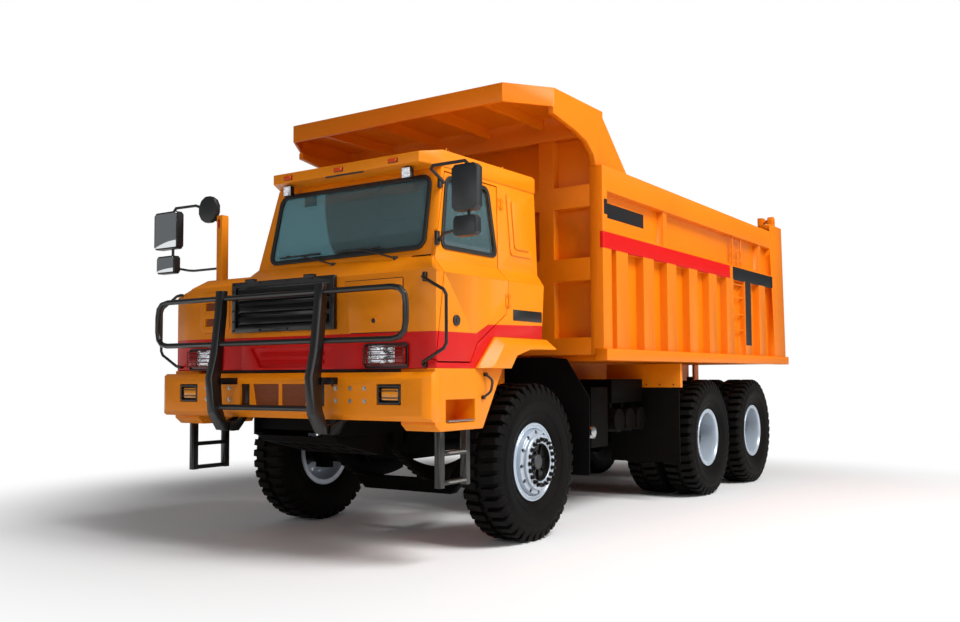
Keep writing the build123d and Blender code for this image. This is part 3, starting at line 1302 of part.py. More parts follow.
# Rib: front edge behind the front axle
rib_fronts = (1296, 1988, 2654, 3345, 4031, 4698, 5449, 6094)
upper_ribs = (2600, 6150)
POST_REAR_LOW = FRONT_AXLE - 7337
POST_REAR_HIGH = FRONT_AXLE - 7230
POST_TOP = 3866.0
ladder_x = (FRONT_AXLE - 5449, FRONT_AXLE - 4978)
with BuildPart() as bed_walls:
    wall_face = (BED_WALL_OUT - BED_WALL, BED_WALL_OUT)
    wall_foot = FLOOR_HIGH - FLOOR_PLATE
    block((FRONT_AXLE - 6800, BED_FRONT), wall_face, (wall_foot, TOP_RAIL_HIGH))
    block((BED_TAIL, FRONT_AXLE - 6800), wall_face, (wall_foot, FLOOR_HIGH))
    for front in rib_fronts:
        block(
            (FRONT_AXLE - front - RIB_WIDTH, FRONT_AXLE - front),
            (BED_WALL_OUT, BED_RAIL_OUT),
            (FLOOR_HIGH, BAND_LOW),
        )
    for front in upper_ribs:
        block(
            (FRONT_AXLE - front - 110, FRONT_AXLE - front),
            (BED_WALL_OUT, BED_RAIL_OUT - 20),
            (BAND_HIGH, TOP_RAIL_LOW),
        )
    along(
        [
            (BED_WALL_OUT, BAND_LOW),
            (BED_RAIL_OUT, BAND_LOW),
            (BED_RAIL_OUT, BAND_HIGH),
            (BED_WALL_OUT, BAND_HIGH + 70),
        ],
        (FRONT_AXLE - 6700, BED_FRONT),
    )
    along(
        [
            (BED_WALL_OUT, TOP_RAIL_LOW),
            (BED_RAIL_OUT, TOP_RAIL_LOW),
            (BED_RAIL_OUT, TOP_RAIL_HIGH),
            (BED_WALL_OUT, TOP_RAIL_HIGH),
        ],
        (FRONT_AXLE - 6640, BED_FRONT),
    )
    block((BED_FRONT - 200, BED_FRONT), (BED_WALL_OUT, BED_RAIL_OUT), (FLOOR_HIGH, BAND_LOW))
    block((BED_FRONT - 110, BED_FRONT), (BED_WALL_OUT, BED_RAIL_OUT), (BAND_HIGH, TOP_RAIL_LOW))
    across(
        [
            (FRONT_AXLE - 6800, FLOOR_HIGH),
            (POST_REAR_LOW, FLOOR_HIGH),
            (POST_REAR_HIGH, POST_TOP),
            (FRONT_AXLE - 6640, POST_TOP),
            (FRONT_AXLE - 6640, TOP_RAIL_LOW - 130),
        ],
        (BED_WALL_OUT - BED_WALL, BED_RAIL_OUT + 10),
    )
    lug_y = (1650, 1735)
    block((GATE_HINGE_X - GATE_LUG_R, GATE_HINGE_X + GATE_LUG_R), lug_y, (POST_TOP - 10, GATE_HINGE_Z))
    rod((GATE_HINGE_X, lug_y[0], GATE_HINGE_Z), (GATE_HINGE_X, lug_y[1], GATE_HINGE_Z), GATE_LUG_R)
    bar(
        (GATE_HINGE_X, lug_y[0] - 1, GATE_HINGE_Z),
        (GATE_HINGE_X, lug_y[1] + 1, GATE_HINGE_Z),
        GATE_PIN_R + RUNNING_GAP,
        mode=Mode.SUBTRACT,
    )
    mirror(about=Plane.XZ)
    for rung_z in (2180, 2400, 2640, 2820):
        block(ladder_x, (BED_WALL_OUT + 45, BED_WALL_OUT + 65), (rung_z, rung_z + 20))
    for stile_x in (ladder_x[0] + 50, ladder_x[1] - 70):
        block((stile_x, stile_x + 20), (BED_RAIL_OUT - 45, BED_RAIL_OUT - 25), (BAND_HIGH, TOP_RAIL_LOW + 20))
    for rung_z in (3150, 3300):
        block(
            (ladder_x[0] + 50, ladder_x[1] - 50),
            (BED_RAIL_OUT - 45, BED_RAIL_OUT - 25),
            (rung_z, rung_z + 20),
        )
bed_walls.part.label = "bed_walls"
export_step(bed_walls.part, "parts/bed_walls.step")

# Bed front wall: recessed panel, two horizontal and two vertical beams, and the hoist's bracket
WALL_TOP = 4080.0
with BuildPart() as bed_front:
    inner_half = BED_WALL_OUT - BED_WALL
    panel_x = (BED_FRONT - BED_BEAM_DEPTH - FRONT_PANEL, BED_FRONT - BED_BEAM_DEPTH)
    beam_x = (panel_x[1], BED_FRONT)
    block(panel_x, (-inner_half, inner_half), (FLOOR_HIGH - FLOOR_PLATE, WALL_TOP))
    for low, high in ((FLOOR_HIGH - FLOOR_PLATE, FLOOR_HIGH + 120), (2558, 2795), (3330, 3565)):
        block(beam_x, (-inner_half, inner_half), (low, high))
    for side in (-1, 1):
        block(beam_x, (side * 1100 - 90, side * 1100 + 90), (FLOOR_HIGH, WALL_TOP))
        block((BED_FRONT - 10, HOIST_X + 70), (side * 95 - 20, side * 95 + 20), (HOIST_EYE_Z - 90, HOIST_EYE_Z + 90))
bed_front.part.label = "bed_front"
export_step(bed_front.part, "parts/bed_front.step")

# Canopy: roof plate with its front lip and ribs, and the side plates that come down to the top rails
RIB_DEPTH = 110.0
LIP_WALL = 30.0
with BuildPart() as canopy:
    plan = [
        (BED_FRONT - 170, -CANOPY_HALF),
        (CANOPY_SHOULDER, -CANOPY_HALF),
        (CANOPY_FRONT, -CANOPY_NOSE_HALF),
        (CANOPY_FRONT, CANOPY_NOSE_HALF),
        (CANOPY_SHOULDER, CANOPY_HALF),
        (BED_FRONT - 170, CANOPY_HALF),
    ]
    upright(plan, (CANOPY_TOP - CANOPY_LIP, CANOPY_TOP))
    upright(
        [
            (BED_FRONT - 171, -CANOPY_HALF + LIP_WALL),
            (CANOPY_SHOULDER - 12, -CANOPY_HALF + LIP_WALL),
            (CANOPY_FRONT - LIP_WALL, -CANOPY_NOSE_HALF + 8),
            (CANOPY_FRONT - LIP_WALL, CANOPY_NOSE_HALF - 8),
            (CANOPY_SHOULDER - 12, CANOPY_HALF - LIP_WALL),
            (BED_FRONT - 171, CANOPY_HALF - LIP_WALL),
        ],
        (CANOPY_TOP - CANOPY_LIP - 1, CANOPY_TOP - CANOPY_PLATE),
        mode=Mode.SUBTRACT,
    )
    rib_low = CANOPY_TOP - CANOPY_PLATE - RIB_DEPTH
    for rib_y in (-1050, -350, 350, 1050):
        block((BED_FRONT, CANOPY_FRONT - LIP_WALL), (rib_y - 30, rib_y + 30), (rib_low, CANOPY_TOP - CANOPY_PLATE))
    block(
        (BED_FRONT - 170, BED_FRONT),
        (-CANOPY_HALF + LIP_WALL, CANOPY_HALF - LIP_WALL),
        (WALL_TOP, CANOPY_TOP - CANOPY_PLATE),
    )
    cheek = from_axle(
        [
            (-90, 4168),
            (-90, 4100),
            (-540, 4030),
            (-780, 3970),
            (-930, 3860),
            (-980, TOP_RAIL_HIGH),
            (-1760, TOP_RAIL_HIGH),
            (-1710, 3800),
            (-1150, 4290),
            (-1150, 4168),
        ]
    )
    for y_low in (-CANOPY_HALF, CANOPY_HALF - 60):
        across(cheek, (y_low, y_low + 60))
canopy.part.label = "canopy"
export_step(canopy.part, "parts/canopy.step")

# Tailgate, hung from two arms on a cross shaft above the tail posts
GATE_HALF = BED_WALL_OUT - BED_WALL - 12
with BuildPart() as tailgate:
    gate_low_x = POST_REAR_LOW + 40
    gate_high_x = POST_REAR_HIGH + 40
    across(
        [
            (gate_low_x, FLOOR_HIGH + 8),
            (gate_low_x + 60, FLOOR_HIGH + 8),
            (gate_high_x + 60, 3700),
            (gate_high_x, 3700),
        ],
        (-GATE_HALF, GATE_HALF),
    )
    for side in (-1, 1):
        arm = (min(side * 1500, side * 1580), max(side * 1500, side * 1580))
        across(
            [
                (gate_high_x + 2, 3600),
                (gate_high_x + 60, 3600),
                (GATE_HINGE_X + 60, GATE_HINGE_Z - 60),
                (GATE_HINGE_X + 60, GATE_HINGE_Z + 60),
                (GATE_HINGE_X - 60, GATE_HINGE_Z + 60),
                (gate_high_x + 2, 3700),
            ],
            arm,
        )
        bar((GATE_HINGE_X, side * 1580, GATE_HINGE_Z), (GATE_HINGE_X, side * 1745, GATE_HINGE_Z), GATE_PIN_R)
tailgate.part.label = "tailgate"
export_step(tailgate.part, "parts/tailgate.step")

# Bull bar: two posts that curl under the bumper, joined by bent tubes
BAR_TUBE = 50.0
BAR_HALF = 1548.0
with BuildPart() as bull_bar:
    post = from_axle(
        [
            (1850, 1075),
            (1990, 1090),
            (FRONT_REACH - 30, 1250),
            (FRONT_REACH, 1560),
            (FRONT_REACH - 55, 1775),
            (FRONT_REACH - 100, 2150),
            (FRONT_REACH - 115, 2350),
            (FRONT_REACH - 175, 2350),
            (FRONT_REACH - 170, 2150),
            (FRONT_REACH - 130, 1775),
            (FRONT_REACH - 105, 1560),
            (FRONT_REACH - 125, 1290),
            (1945, 1165),
            (1850, 1165),
        ]
    )
    for side in (-1, 1):
        across(post, (side * BAR_POST_Y - BAR_POST_HALF, side * BAR_POST_Y + BAR_POST_HALF))
        bar(
            (BAR_PIVOT_X, side * BAR_POST_Y - BAR_POST_HALF - 1, BAR_PIVOT_Z),
            (BAR_PIVOT_X, side * BAR_POST_Y + BAR_POST_HALF + 1, BAR_PIVOT_Z),
            BAR_PIN_R + RUNNING_GAP,
            mode=Mode.SUBTRACT,
        )
    loop_x = FRONT_AXLE + FRONT_REACH - 145
    tube(
        [
            (loop_x, 0, 2280),
            (loop_x, BAR_HALF - 25, 2280),
            (loop_x, BAR_HALF - 25, 1865),
            (loop_x, BAR_POST_Y, 1865),
        ],
        BAR_TUBE,
        140,
        steps=3,
    )
    tube([(loop_x + 45, 0, 1865), (loop_x + 45, BAR_POST_Y + 20, 1865)], BAR_TUBE)
    tube([(loop_x + 60, 0, 1300), (loop_x + 60, BAR_POST_Y + 20, 1300)], BAR_TUBE)
    mirror(about=Plane.XZ)
bull_bar.part.label = "bull_bar"
export_step(bull_bar.part, "parts/bull_bar.step")

# Telescopic hoist between the cab and the bed; tube: name, radius, foot above the trunnion
hoist_tubes = (
    ("hoist_barrel", 110, -110),
    ("hoist_stage_1", 92, -90),
    ("hoist_stage_2", 75, -70),
    ("hoist_rod", 58, -50),
)
TUBE_WALL = 14.0
TUBE_END = 14.0
GLAND = 60.0                  # length of the ring at a tube's mouth that guides the next tube
EYE_R = 70.0
EYE_HALF = 68.0
for number, (name, radius, low) in enumerate(hoist_tubes):
    foot = HOIST_FOOT_Z + low
    mouth = foot + HOIST_TUBE
    with BuildPart() as stage:
        bar((HOIST_X, 0, foot), (HOIST_X, 0, mouth), radius)
        if number == len(hoist_tubes) - 1:
            rod((HOIST_X, 0, mouth - 1), (HOIST_X, 0, HOIST_EYE_Z), 45)
            bar((HOIST_X, -EYE_HALF, HOIST_EYE_Z), (HOIST_X, EYE_HALF, HOIST_EYE_Z), EYE_R)
        else:
            bore = radius - TUBE_WALL
            guide = hoist_tubes[number + 1][1] + RUNNING_GAP
            rod((HOIST_X, 0, foot + TUBE_END), (HOIST_X, 0, mouth - GLAND), bore, mode=Mode.SUBTRACT)
            bar((HOIST_X, 0, mouth - GLAND - 1), (HOIST_X, 0, mouth + 1), guide, mode=Mode.SUBTRACT)
        if number == 0:
            for side in (-1, 1):
                bar((HOIST_X, side * 105, HOIST_FOOT_Z), (HOIST_X, side * 340, HOIST_FOOT_Z), TRUNNION_R)
    stage.part.label = name
    export_step(stage.part, f"parts/{name}.step")
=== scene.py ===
"""Looks of a mining dump truck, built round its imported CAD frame."""
import logging
import math
from collections.abc import Sequence
from dataclasses import dataclass
from enum import Enum
from typing import ClassVar

import bmesh
import bpy
from mathutils import Matrix, Vector


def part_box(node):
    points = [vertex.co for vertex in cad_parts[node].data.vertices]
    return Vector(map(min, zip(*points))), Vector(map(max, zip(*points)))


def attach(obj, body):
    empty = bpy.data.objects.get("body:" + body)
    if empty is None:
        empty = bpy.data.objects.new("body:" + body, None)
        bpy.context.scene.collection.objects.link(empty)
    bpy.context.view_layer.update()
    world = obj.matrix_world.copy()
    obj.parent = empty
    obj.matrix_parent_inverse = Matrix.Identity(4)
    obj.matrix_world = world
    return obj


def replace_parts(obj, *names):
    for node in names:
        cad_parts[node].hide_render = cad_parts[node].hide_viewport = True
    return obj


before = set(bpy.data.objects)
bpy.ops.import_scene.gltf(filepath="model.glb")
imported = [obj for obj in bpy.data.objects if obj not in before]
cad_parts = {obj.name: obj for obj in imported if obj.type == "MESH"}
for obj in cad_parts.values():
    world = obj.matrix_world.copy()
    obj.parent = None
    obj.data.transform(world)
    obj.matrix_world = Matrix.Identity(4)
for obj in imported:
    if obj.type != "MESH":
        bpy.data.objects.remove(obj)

logger = logging.getLogger("dump_truck")

Point = tuple[float, float, float]
Pair = tuple[float, float]
Colour = tuple[float, float, float]

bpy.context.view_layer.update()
FRONT_AXLE = (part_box("wheel_front_left")[0].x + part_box("wheel_front_left")[1].x) / 2
SIDES = (1, -1)
SMOOTH_ANGLE = math.radians(32)
MERGE_DISTANCE = 1e-5

# Edges that turn by more than this, in radians, are rounded
SHARP_ANGLE = 0.6

# Faces that several classes share, in metres ahead of the front axle
NOSE_FACE = 1.72
BUMPER_FACE = 1.837
SCREEN_WALL = 1.52


def ahead(x: float) -> float:
    """Returns the frame's x of a place that is measured from the front axle."""
    return FRONT_AXLE + x


def srgb(red: int, green: int, blue: int) -> Colour:
    """Returns the linear colour of an 8-bit display colour."""

    def linear(value: int) -> float:
        """Returns one channel as linear light."""
        share = value / 255
        return share / 12.92 if share <= 0.04045 else ((share + 0.055) / 1.055) ** 2.4

    return (linear(red), linear(green), linear(blue))


def rounded_path(points: Sequence[Point], radius: float, steps: int = 5) -> list[Vector]:
    """Rounds the inner corners of a path.

    Args:
        points: The corners of the path.
        radius: How far from each corner its bend starts.
        steps: Divisions of each bend.

    Returns:
        The points of the path with its bends.
    """
    corners = [Vector(p) for p in points]
    path = [corners[0]]
    for before, corner, after in zip(corners, corners[1:], corners[2:]):
        enter = corner + (before - corner).normalized() * radius
        leave = corner + (after - corner).normalized() * radius
        for step in range(steps + 1):
            t = step / steps
            path.append(enter.lerp(corner, t).lerp(corner.lerp(leave, t), t))
    path.append(corners[-1])
    return path


def rounded_loop(section: Sequence[Pair], rounding: float, steps: int = 3) -> list[Pair]:
    """Rounds the corners of a closed outline.

    Args:
        section: The corners in order.
        rounding: How far from each corner its curve starts.
        steps: Divisions of each curve.

    Returns:
        The outline with its curves; corners on the axis stay sharp.
    """
    corners = [Vector(c) for c in section]
    loop: list[Pair] = []
    for number, corner in enumerate(corners):
        before = corners[number - 1]
        after = corners[(number + 1) % len(corners)]
        if rounding == 0 or corner.y < 1e-6:
            loop.append(tuple(corner))
            continue
        enter = corner + (before - corner) * min(rounding / (before - corner).length, 0.45)
        leave = corner + (after - corner) * min(rounding / (after - corner).length, 0.45)
        for step in range(steps + 1):
            t = step / steps
            loop.append(tuple(enter.lerp(corner, t).lerp(corner.lerp(leave, t), t)))
    return loop


class Shape:
    """A mesh in the making, in the truck's frame and in metres."""

    def __init__(self) -> None:
        """Starts with an empty mesh."""
        self.mesh = bmesh.new()

    def _edges_of(self, verts: Sequence[bmesh.types.BMVert]) -> list[bmesh.types.BMEdge]:
        """Returns the edges that join the given points."""
        return list({edge for vert in verts for edge in vert.link_edges})

    def _round(self, verts: Sequence[bmesh.types.BMVert], width: float, segments: int) -> None:
        """Bevels the sharp edges between the given points."""
        if width > 0:
            sharp = [e for e in self._edges_of(verts) if e.is_manifold and e.calc_face_angle(0) > SHARP_ANGLE]
            bmesh.ops.bevel(
                self.mesh, geom=sharp, offset=width, offset_type="OFFSET", segments=segments,
                profile=0.5, affect="EDGES", clamp_overlap=True, material=-1,
            )

    def box(self, x: Pair, y: Pair, z: Pair, bevel: float = 0.0) -> "Shape":
        """Adds a box.

        Args:
            x: Low and high end along X.
            y: Low and high end along Y.
            z: Low and high end along Z.
            bevel: Width of the rounded edges.

        Returns:
            This shape.
        """
        size = Matrix.Diagonal((x[1] - x[0], y[1] - y[0], z[1] - z[0], 1))
        middle = Matrix.Translation(((x[0] + x[1]) / 2, (y[0] + y[1]) / 2, (z[0] + z[1]) / 2))
        verts = bmesh.ops.create_cube(self.mesh, size=1, matrix=middle @ size)["verts"]
        self._round(verts, bevel, 2)
        return self

    def rod(self, start: Point, end: Point, radius: float, sides: int = 20, bevel: float = 0.0) -> "Shape":
        """Adds a round or polygonal rod between two points.

        Args:
            start: Middle of the first end.
            end: Middle of the other end.
            radius: Radius of the rod.
            sides: Sides of the rod.
            bevel: Width of the rounded end edges.

        Returns:
            This shape.
        """
        run = Vector(end) - Vector(start)
        turn = run.to_track_quat("Z", "Y").to_matrix().to_4x4()
        place = Matrix.Translation((Vector(start) + Vector(end)) / 2) @ turn
        verts = bmesh.ops.create_cone(
            self.mesh, cap_ends=True, segments=sides, radius1=radius, radius2=radius,
            depth=run.length, matrix=place,
        )["verts"]
        self._round(verts, bevel, 2)
        return self

    def ball(self, middle: Point, radius: float, squash: Point = (1, 1, 1)) -> "Shape":
        """Adds a ball, flattened along the axes by squash."""
        place = Matrix.Translation(middle) @ Matrix.Diagonal((*squash, 1))
        bmesh.ops.create_uvsphere(self.mesh, u_segments=20, v_segments=12, radius=radius, matrix=place)
        return self

    def plate(
        self, corners: Sequence[Point], depth: Point, bevel: float = 0.0, segments: int = 2,
    ) -> "Shape":
        """Adds a flat outline pushed along a direction.

        Args:
            corners: The outline's corners in order.
            depth: How far, and which way, the outline is pushed.
            bevel: Width of the rounded edges.
            segments: Steps in a rounded edge.

        Returns:
            This shape.
        """
        verts = [self.mesh.verts.new(c) for c in corners]
        face = self.mesh.faces.new(verts)
        pushed = bmesh.ops.extrude_face_region(self.mesh, geom=[face], use_keep_orig=True)["geom"]
        moved = [v for v in pushed if isinstance(v, bmesh.types.BMVert)]
        bmesh.ops.translate(self.mesh, vec=Vector(depth), verts=moved)
        bmesh.ops.recalc_face_normals(self.mesh, faces=list({f for v in verts + moved for f in v.link_faces}))
        self._round(verts + moved, bevel, segments)
        return self

    def seal(
        self, corners: Sequence[Point], width: float, depth: float, radius: float, out: Point,
        bevel: float = 0.004,
    ) -> "Shape":
        """Adds a band that runs round a flat opening with rounded corners.

        Args:
            corners: The outline of the band's outer edge, in order.
            width: Width of the band.
            depth: How far it stands out, along the outline's normal.
            radius: Radius of its outer corners.
            out: The side that it stands out to.
            bevel: Width of its rounded edges.

        Returns:
            This shape.
        """
        rim = bmesh.new()
        face = rim.faces.new([rim.verts.new(c) for c in corners])
        bmesh.ops.bevel(
            rim, geom=list(rim.verts), offset=radius, offset_type="OFFSET", segments=6,
            profile=0.5, affect="VERTICES", clamp_overlap=True, material=-1,
        )
        face = max(rim.faces, key=lambda f: f.calc_area())
        rim.normal_update()
        normal = face.normal.copy()
        if normal.dot(Vector(out)) < 0:
            normal.negate()
        bmesh.ops.inset_individual(rim, faces=[face], thickness=width, use_even_offset=True)
        bmesh.ops.delete(rim, geom=[face], context="FACES")
        pushed = bmesh.ops.extrude_face_region(rim, geom=list(rim.faces), use_keep_orig=True)["geom"]
        moved = [v for v in pushed if isinstance(v, bmesh.types.BMVert)]
        bmesh.ops.translate(rim, vec=normal * depth, verts=moved)
        sharp = [e for e in rim.edges if e.is_manifold and e.calc_face_angle(0) > SHARP_ANGLE]
        bmesh.ops.bevel(
            rim, geom=sharp, offset=bevel, offset_type="OFFSET", segments=2,
            profile=0.5, affect="EDGES", clamp_overlap=True, material=-1,
        )
        self.join(rim)
        return self

    def tube(self, points: Sequence[Point], radius: float, bend: float = 0.03, sides: int = 5) -> "Shape":
        """Adds a round tube that follows a path.

        Args:
            points: Corners of the path.
            radius: Radius of the tube.
            bend: How far from each corner its bend starts.
            sides: Half the number of the tube's sides, less one.

        Returns:
            This shape.
        """
        line = bpy.data.curves.new("path", "CURVE")
        line.dimensions = "3D"
        line.bevel_depth = radius
        line.bevel_resolution = sides
        line.use_fill_caps = True
        path = rounded_path(points, bend)
        spline = line.splines.new("POLY")
        spline.points.add(len(path) - 1)
        for spot, place in zip(spline.points, path):
            spot.co = (*place, 1)
        holder = bpy.data.objects.new("path", line)
        bpy.context.scene.collection.objects.link(holder)
        bpy.context.view_layer.update()
        made = bpy.data.meshes.new_from_object(holder.evaluated_get(bpy.context.evaluated_depsgraph_get()))
        self.mesh.from_mesh(made)
        bpy.data.objects.remove(holder)
        bpy.data.curves.remove(line)
        bpy.data.meshes.remove(made)
        return self

    def ring(self, along: float, radius: float, thickness: float, steps: int = 96) -> "Shape":
        """Adds a ring of round section about the Y axis, at a distance along it."""
        hoop = bmesh.new()
        start = Matrix.Translation((radius, 0, 0)) @ Matrix.Rotation(math.radians(90), 4, "X")
        bmesh.ops.create_circle(hoop, cap_ends=False, segments=8, radius=thickness, matrix=start)
        bmesh.ops.spin(
            hoop, geom=list(hoop.verts) + list(hoop.edges), cent=(0, 0, 0), axis=(0, 0, 1),
            angle=math.tau, steps=steps, use_merge=True,
        )
        bmesh.ops.remove_doubles(hoop, verts=list(hoop.verts), dist=MERGE_DISTANCE)
        lay = Matrix.Translation((0, along, 0)) @ Matrix.Rotation(math.radians(-90), 4, "X")
        bmesh.ops.transform(hoop, matrix=lay, verts=list(hoop.verts))
        self.join(hoop)
        return self

    def turned(self, section: Sequence[Pair], rounding: float = 0.0, steps: int = 96) -> "Shape":
        """Adds a closed outline turned about the Y axis.

        Args:
            section: Corners as (distance along the axis, radius), in order.
            rounding: Size of the rounded corners.
            steps: Divisions of the full turn.

        Returns:
            This shape.
        """
        hoop = bmesh.new()
        verts = [hoop.verts.new((0, along, radius)) for along, radius in rounded_loop(section, rounding)]
        edges = [hoop.edges.new(pair) for pair in zip(verts, verts[1:] + verts[:1])]
        bmesh.ops.spin(
            hoop, geom=verts + edges, cent=(0, 0, 0), axis=(0, 1, 0), angle=math.tau, steps=steps,
            use_merge=True,
        )
        bmesh.ops.remove_doubles(hoop, verts=list(hoop.verts), dist=MERGE_DISTANCE)
        self.join(hoop)
        return self

    def array(self, count: int, start: float = 0.0) -> "Shape":
        """Repeats the whole shape round the Y axis.

        Args:
            count: How many there are in the end.
            start: Angle of the first.

        Returns:
            This shape.
        """
        bmesh.ops.rotate(
            self.mesh, cent=(0, 0, 0), matrix=Matrix.Rotation(start, 3, "Y"), verts=list(self.mesh.verts),
        )
        geom = list(self.mesh.verts) + list(self.mesh.edges) + list(self.mesh.faces)
        bmesh.ops.spin(
            self.mesh, geom=geom, cent=(0, 0, 0), axis=(0, 1, 0), angle=math.tau * (count - 1) / count,
            steps=count - 1, use_duplicate=True,
        )
        return self

    def put(self, other: "Shape", middle: Point, side: int = 1) -> "Shape":
        """Adds a copy of another shape.

        Args:
            other: The shape, made about the origin.
            middle: Where its origin goes.
            side: -1 turns it over to the truck's right.

        Returns:
            This shape.
        """
        piece = other.mesh.copy()
        bmesh.ops.transform(
            piece, matrix=Matrix.Translation(middle) @ Matrix.Diagonal((1, side, 1, 1)),
            verts=list(piece.verts),
        )
        if side < 0:
            bmesh.ops.reverse_faces(piece, faces=list(piece.faces))
        made = bpy.data.meshes.new("part")
        piece.to_mesh(made)
        piece.free()
        self.mesh.from_mesh(made)
        bpy.data.meshes.remove(made)
        return self

    def join(self, other: bmesh.types.BMesh) -> None:
        """Adds another mesh to this one and frees it."""
        bmesh.ops.recalc_face_normals(other, faces=list(other.faces))
        made = bpy.data.meshes.new("part")
        other.to_mesh(made)
        other.free()
        self.mesh.from_mesh(made)
        bpy.data.meshes.remove(made)

    def mirrored(self) -> "Shape":
        """Adds the same shape on the other side of the truck."""
        geom = list(self.mesh.verts) + list(self.mesh.edges) + list(self.mesh.faces)
        copied = bmesh.ops.duplicate(self.mesh, geom=geom)["geom"]
        verts = [v for v in copied if isinstance(v, bmesh.types.BMVert)]
        bmesh.ops.scale(self.mesh, vec=(1, -1, 1), verts=verts)
        faces = [f for f in copied if isinstance(f, bmesh.types.BMFace)]
        bmesh.ops.reverse_faces(self.mesh, faces=faces)
        return self

    def finish(
        self, name: str, finish: bpy.types.Material, body: str = "root", slot: str | None = None,
    ) -> bpy.types.Object:
        """Makes the piece's object and lets it ride on its body.

        Args:
            name: Name of the piece.
            finish: Its material.
            body: The body that carries it.
            slot: The record's material slot, if it takes one; not used.

        Returns:
            The new object.
        """
        bmesh.ops.recalc_face_normals(self.mesh, faces=list(self.mesh.faces))
        made = bpy.data.meshes.new(name)
        self.mesh.to_mesh(made)
        self.mesh.free()
        made.shade_smooth()
        made.set_sharp_from_angle(angle=SMOOTH_ANGLE)
        made.materials.append(finish)
        piece = bpy.data.objects.new(name, made)
        bpy.context.scene.collection.objects.link(piece)
        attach(piece, body)
        logger.info("%s: %d faces", name, len(made.polygons))
        return piece


class Nodes:
    """Adds and joins the nodes of one tree."""

    def __init__(self, tree: bpy.types.NodeTree) -> None:
        """Takes the tree to work in."""
        self.tree = tree

    def add(self, kind: str, values: dict | None = None, **settings: object) -> bpy.types.Node:
        """Adds a node.

        Args:
            kind: The node's type.
            values: Input values or sockets to join, by input name or number.
            settings: The node's own settings.

        Returns:
            The new node.
        """
        node = self.tree.nodes.new(kind)
        for key, value in settings.items():
            setattr(node, key, value)
        for key, value in (values or {}).items():
            self.give(node, key, value)
        return node

    def give(self, node: bpy.types.Node, key: str | int, value: object) -> None:
        """Sets an input, or joins it where the value is a socket."""
        if isinstance(value, bpy.types.NodeSocket):
            self.tree.links.new(value, node.inputs[key])
        else:
            node.inputs[key].default_value = value

    def place(self) -> bpy.types.NodeSocket:
        """Returns the place on the piece, in its own coordinates."""
        return self.add("ShaderNodeTexCoord").outputs["Object"]

    def maths(self, operation: str, first: object, second: object = 0.0) -> bpy.types.NodeSocket:
        """Returns the result of one sum."""
        return self.add("ShaderNodeMath", {0: first, 1: second}, operation=operation).outputs[0]

    def between(
        self, value: object, source: Pair, target: Pair = (0.0, 1.0), soft: bool = False,
    ) -> bpy.types.NodeSocket:
        """Returns a value mapped from one range to another and kept inside it."""
        node = self.add(
            "ShaderNodeMapRange",
            {"Value": value, "From Min": source[0], "From Max": source[1],
             "To Min": target[0], "To Max": target[1]},
            interpolation_type="SMOOTHSTEP" if soft else "LINEAR",
        )
        return node.outputs["Result"]

    def blend(self, share: object, first: object, second: object) -> bpy.types.NodeSocket:
        """Returns the mix of two colours."""
        node = self.add("ShaderNodeMix", data_type="RGBA")
        for key, value in ((0, share), (6, first), (7, second)):
            if isinstance(value, tuple):
                value = (*value[:3], 1.0)
            self.give(node, key, value)
        return node.outputs[2]


def new_material(name: str) -> tuple[bpy.types.Material, Nodes, bpy.types.Node]:
    """Makes a material with nodes.

    Args:
        name: Its name.

    Returns:
        The material, its node adder and its shader.
    """
    material = bpy.data.materials.new(name)
    material.use_nodes = True
    return material, Nodes(material.node_tree), material.node_tree.nodes["Principled BSDF"]


class Effect(Enum):
    """Shared effects, each a node group."""

    DUST = "road_dust"
    DRIFT = "tone_drift"
    GRAIN = "surface_grain"
    STRIPE = "stripe_mask"
    SCUFF = "scuff_mask"


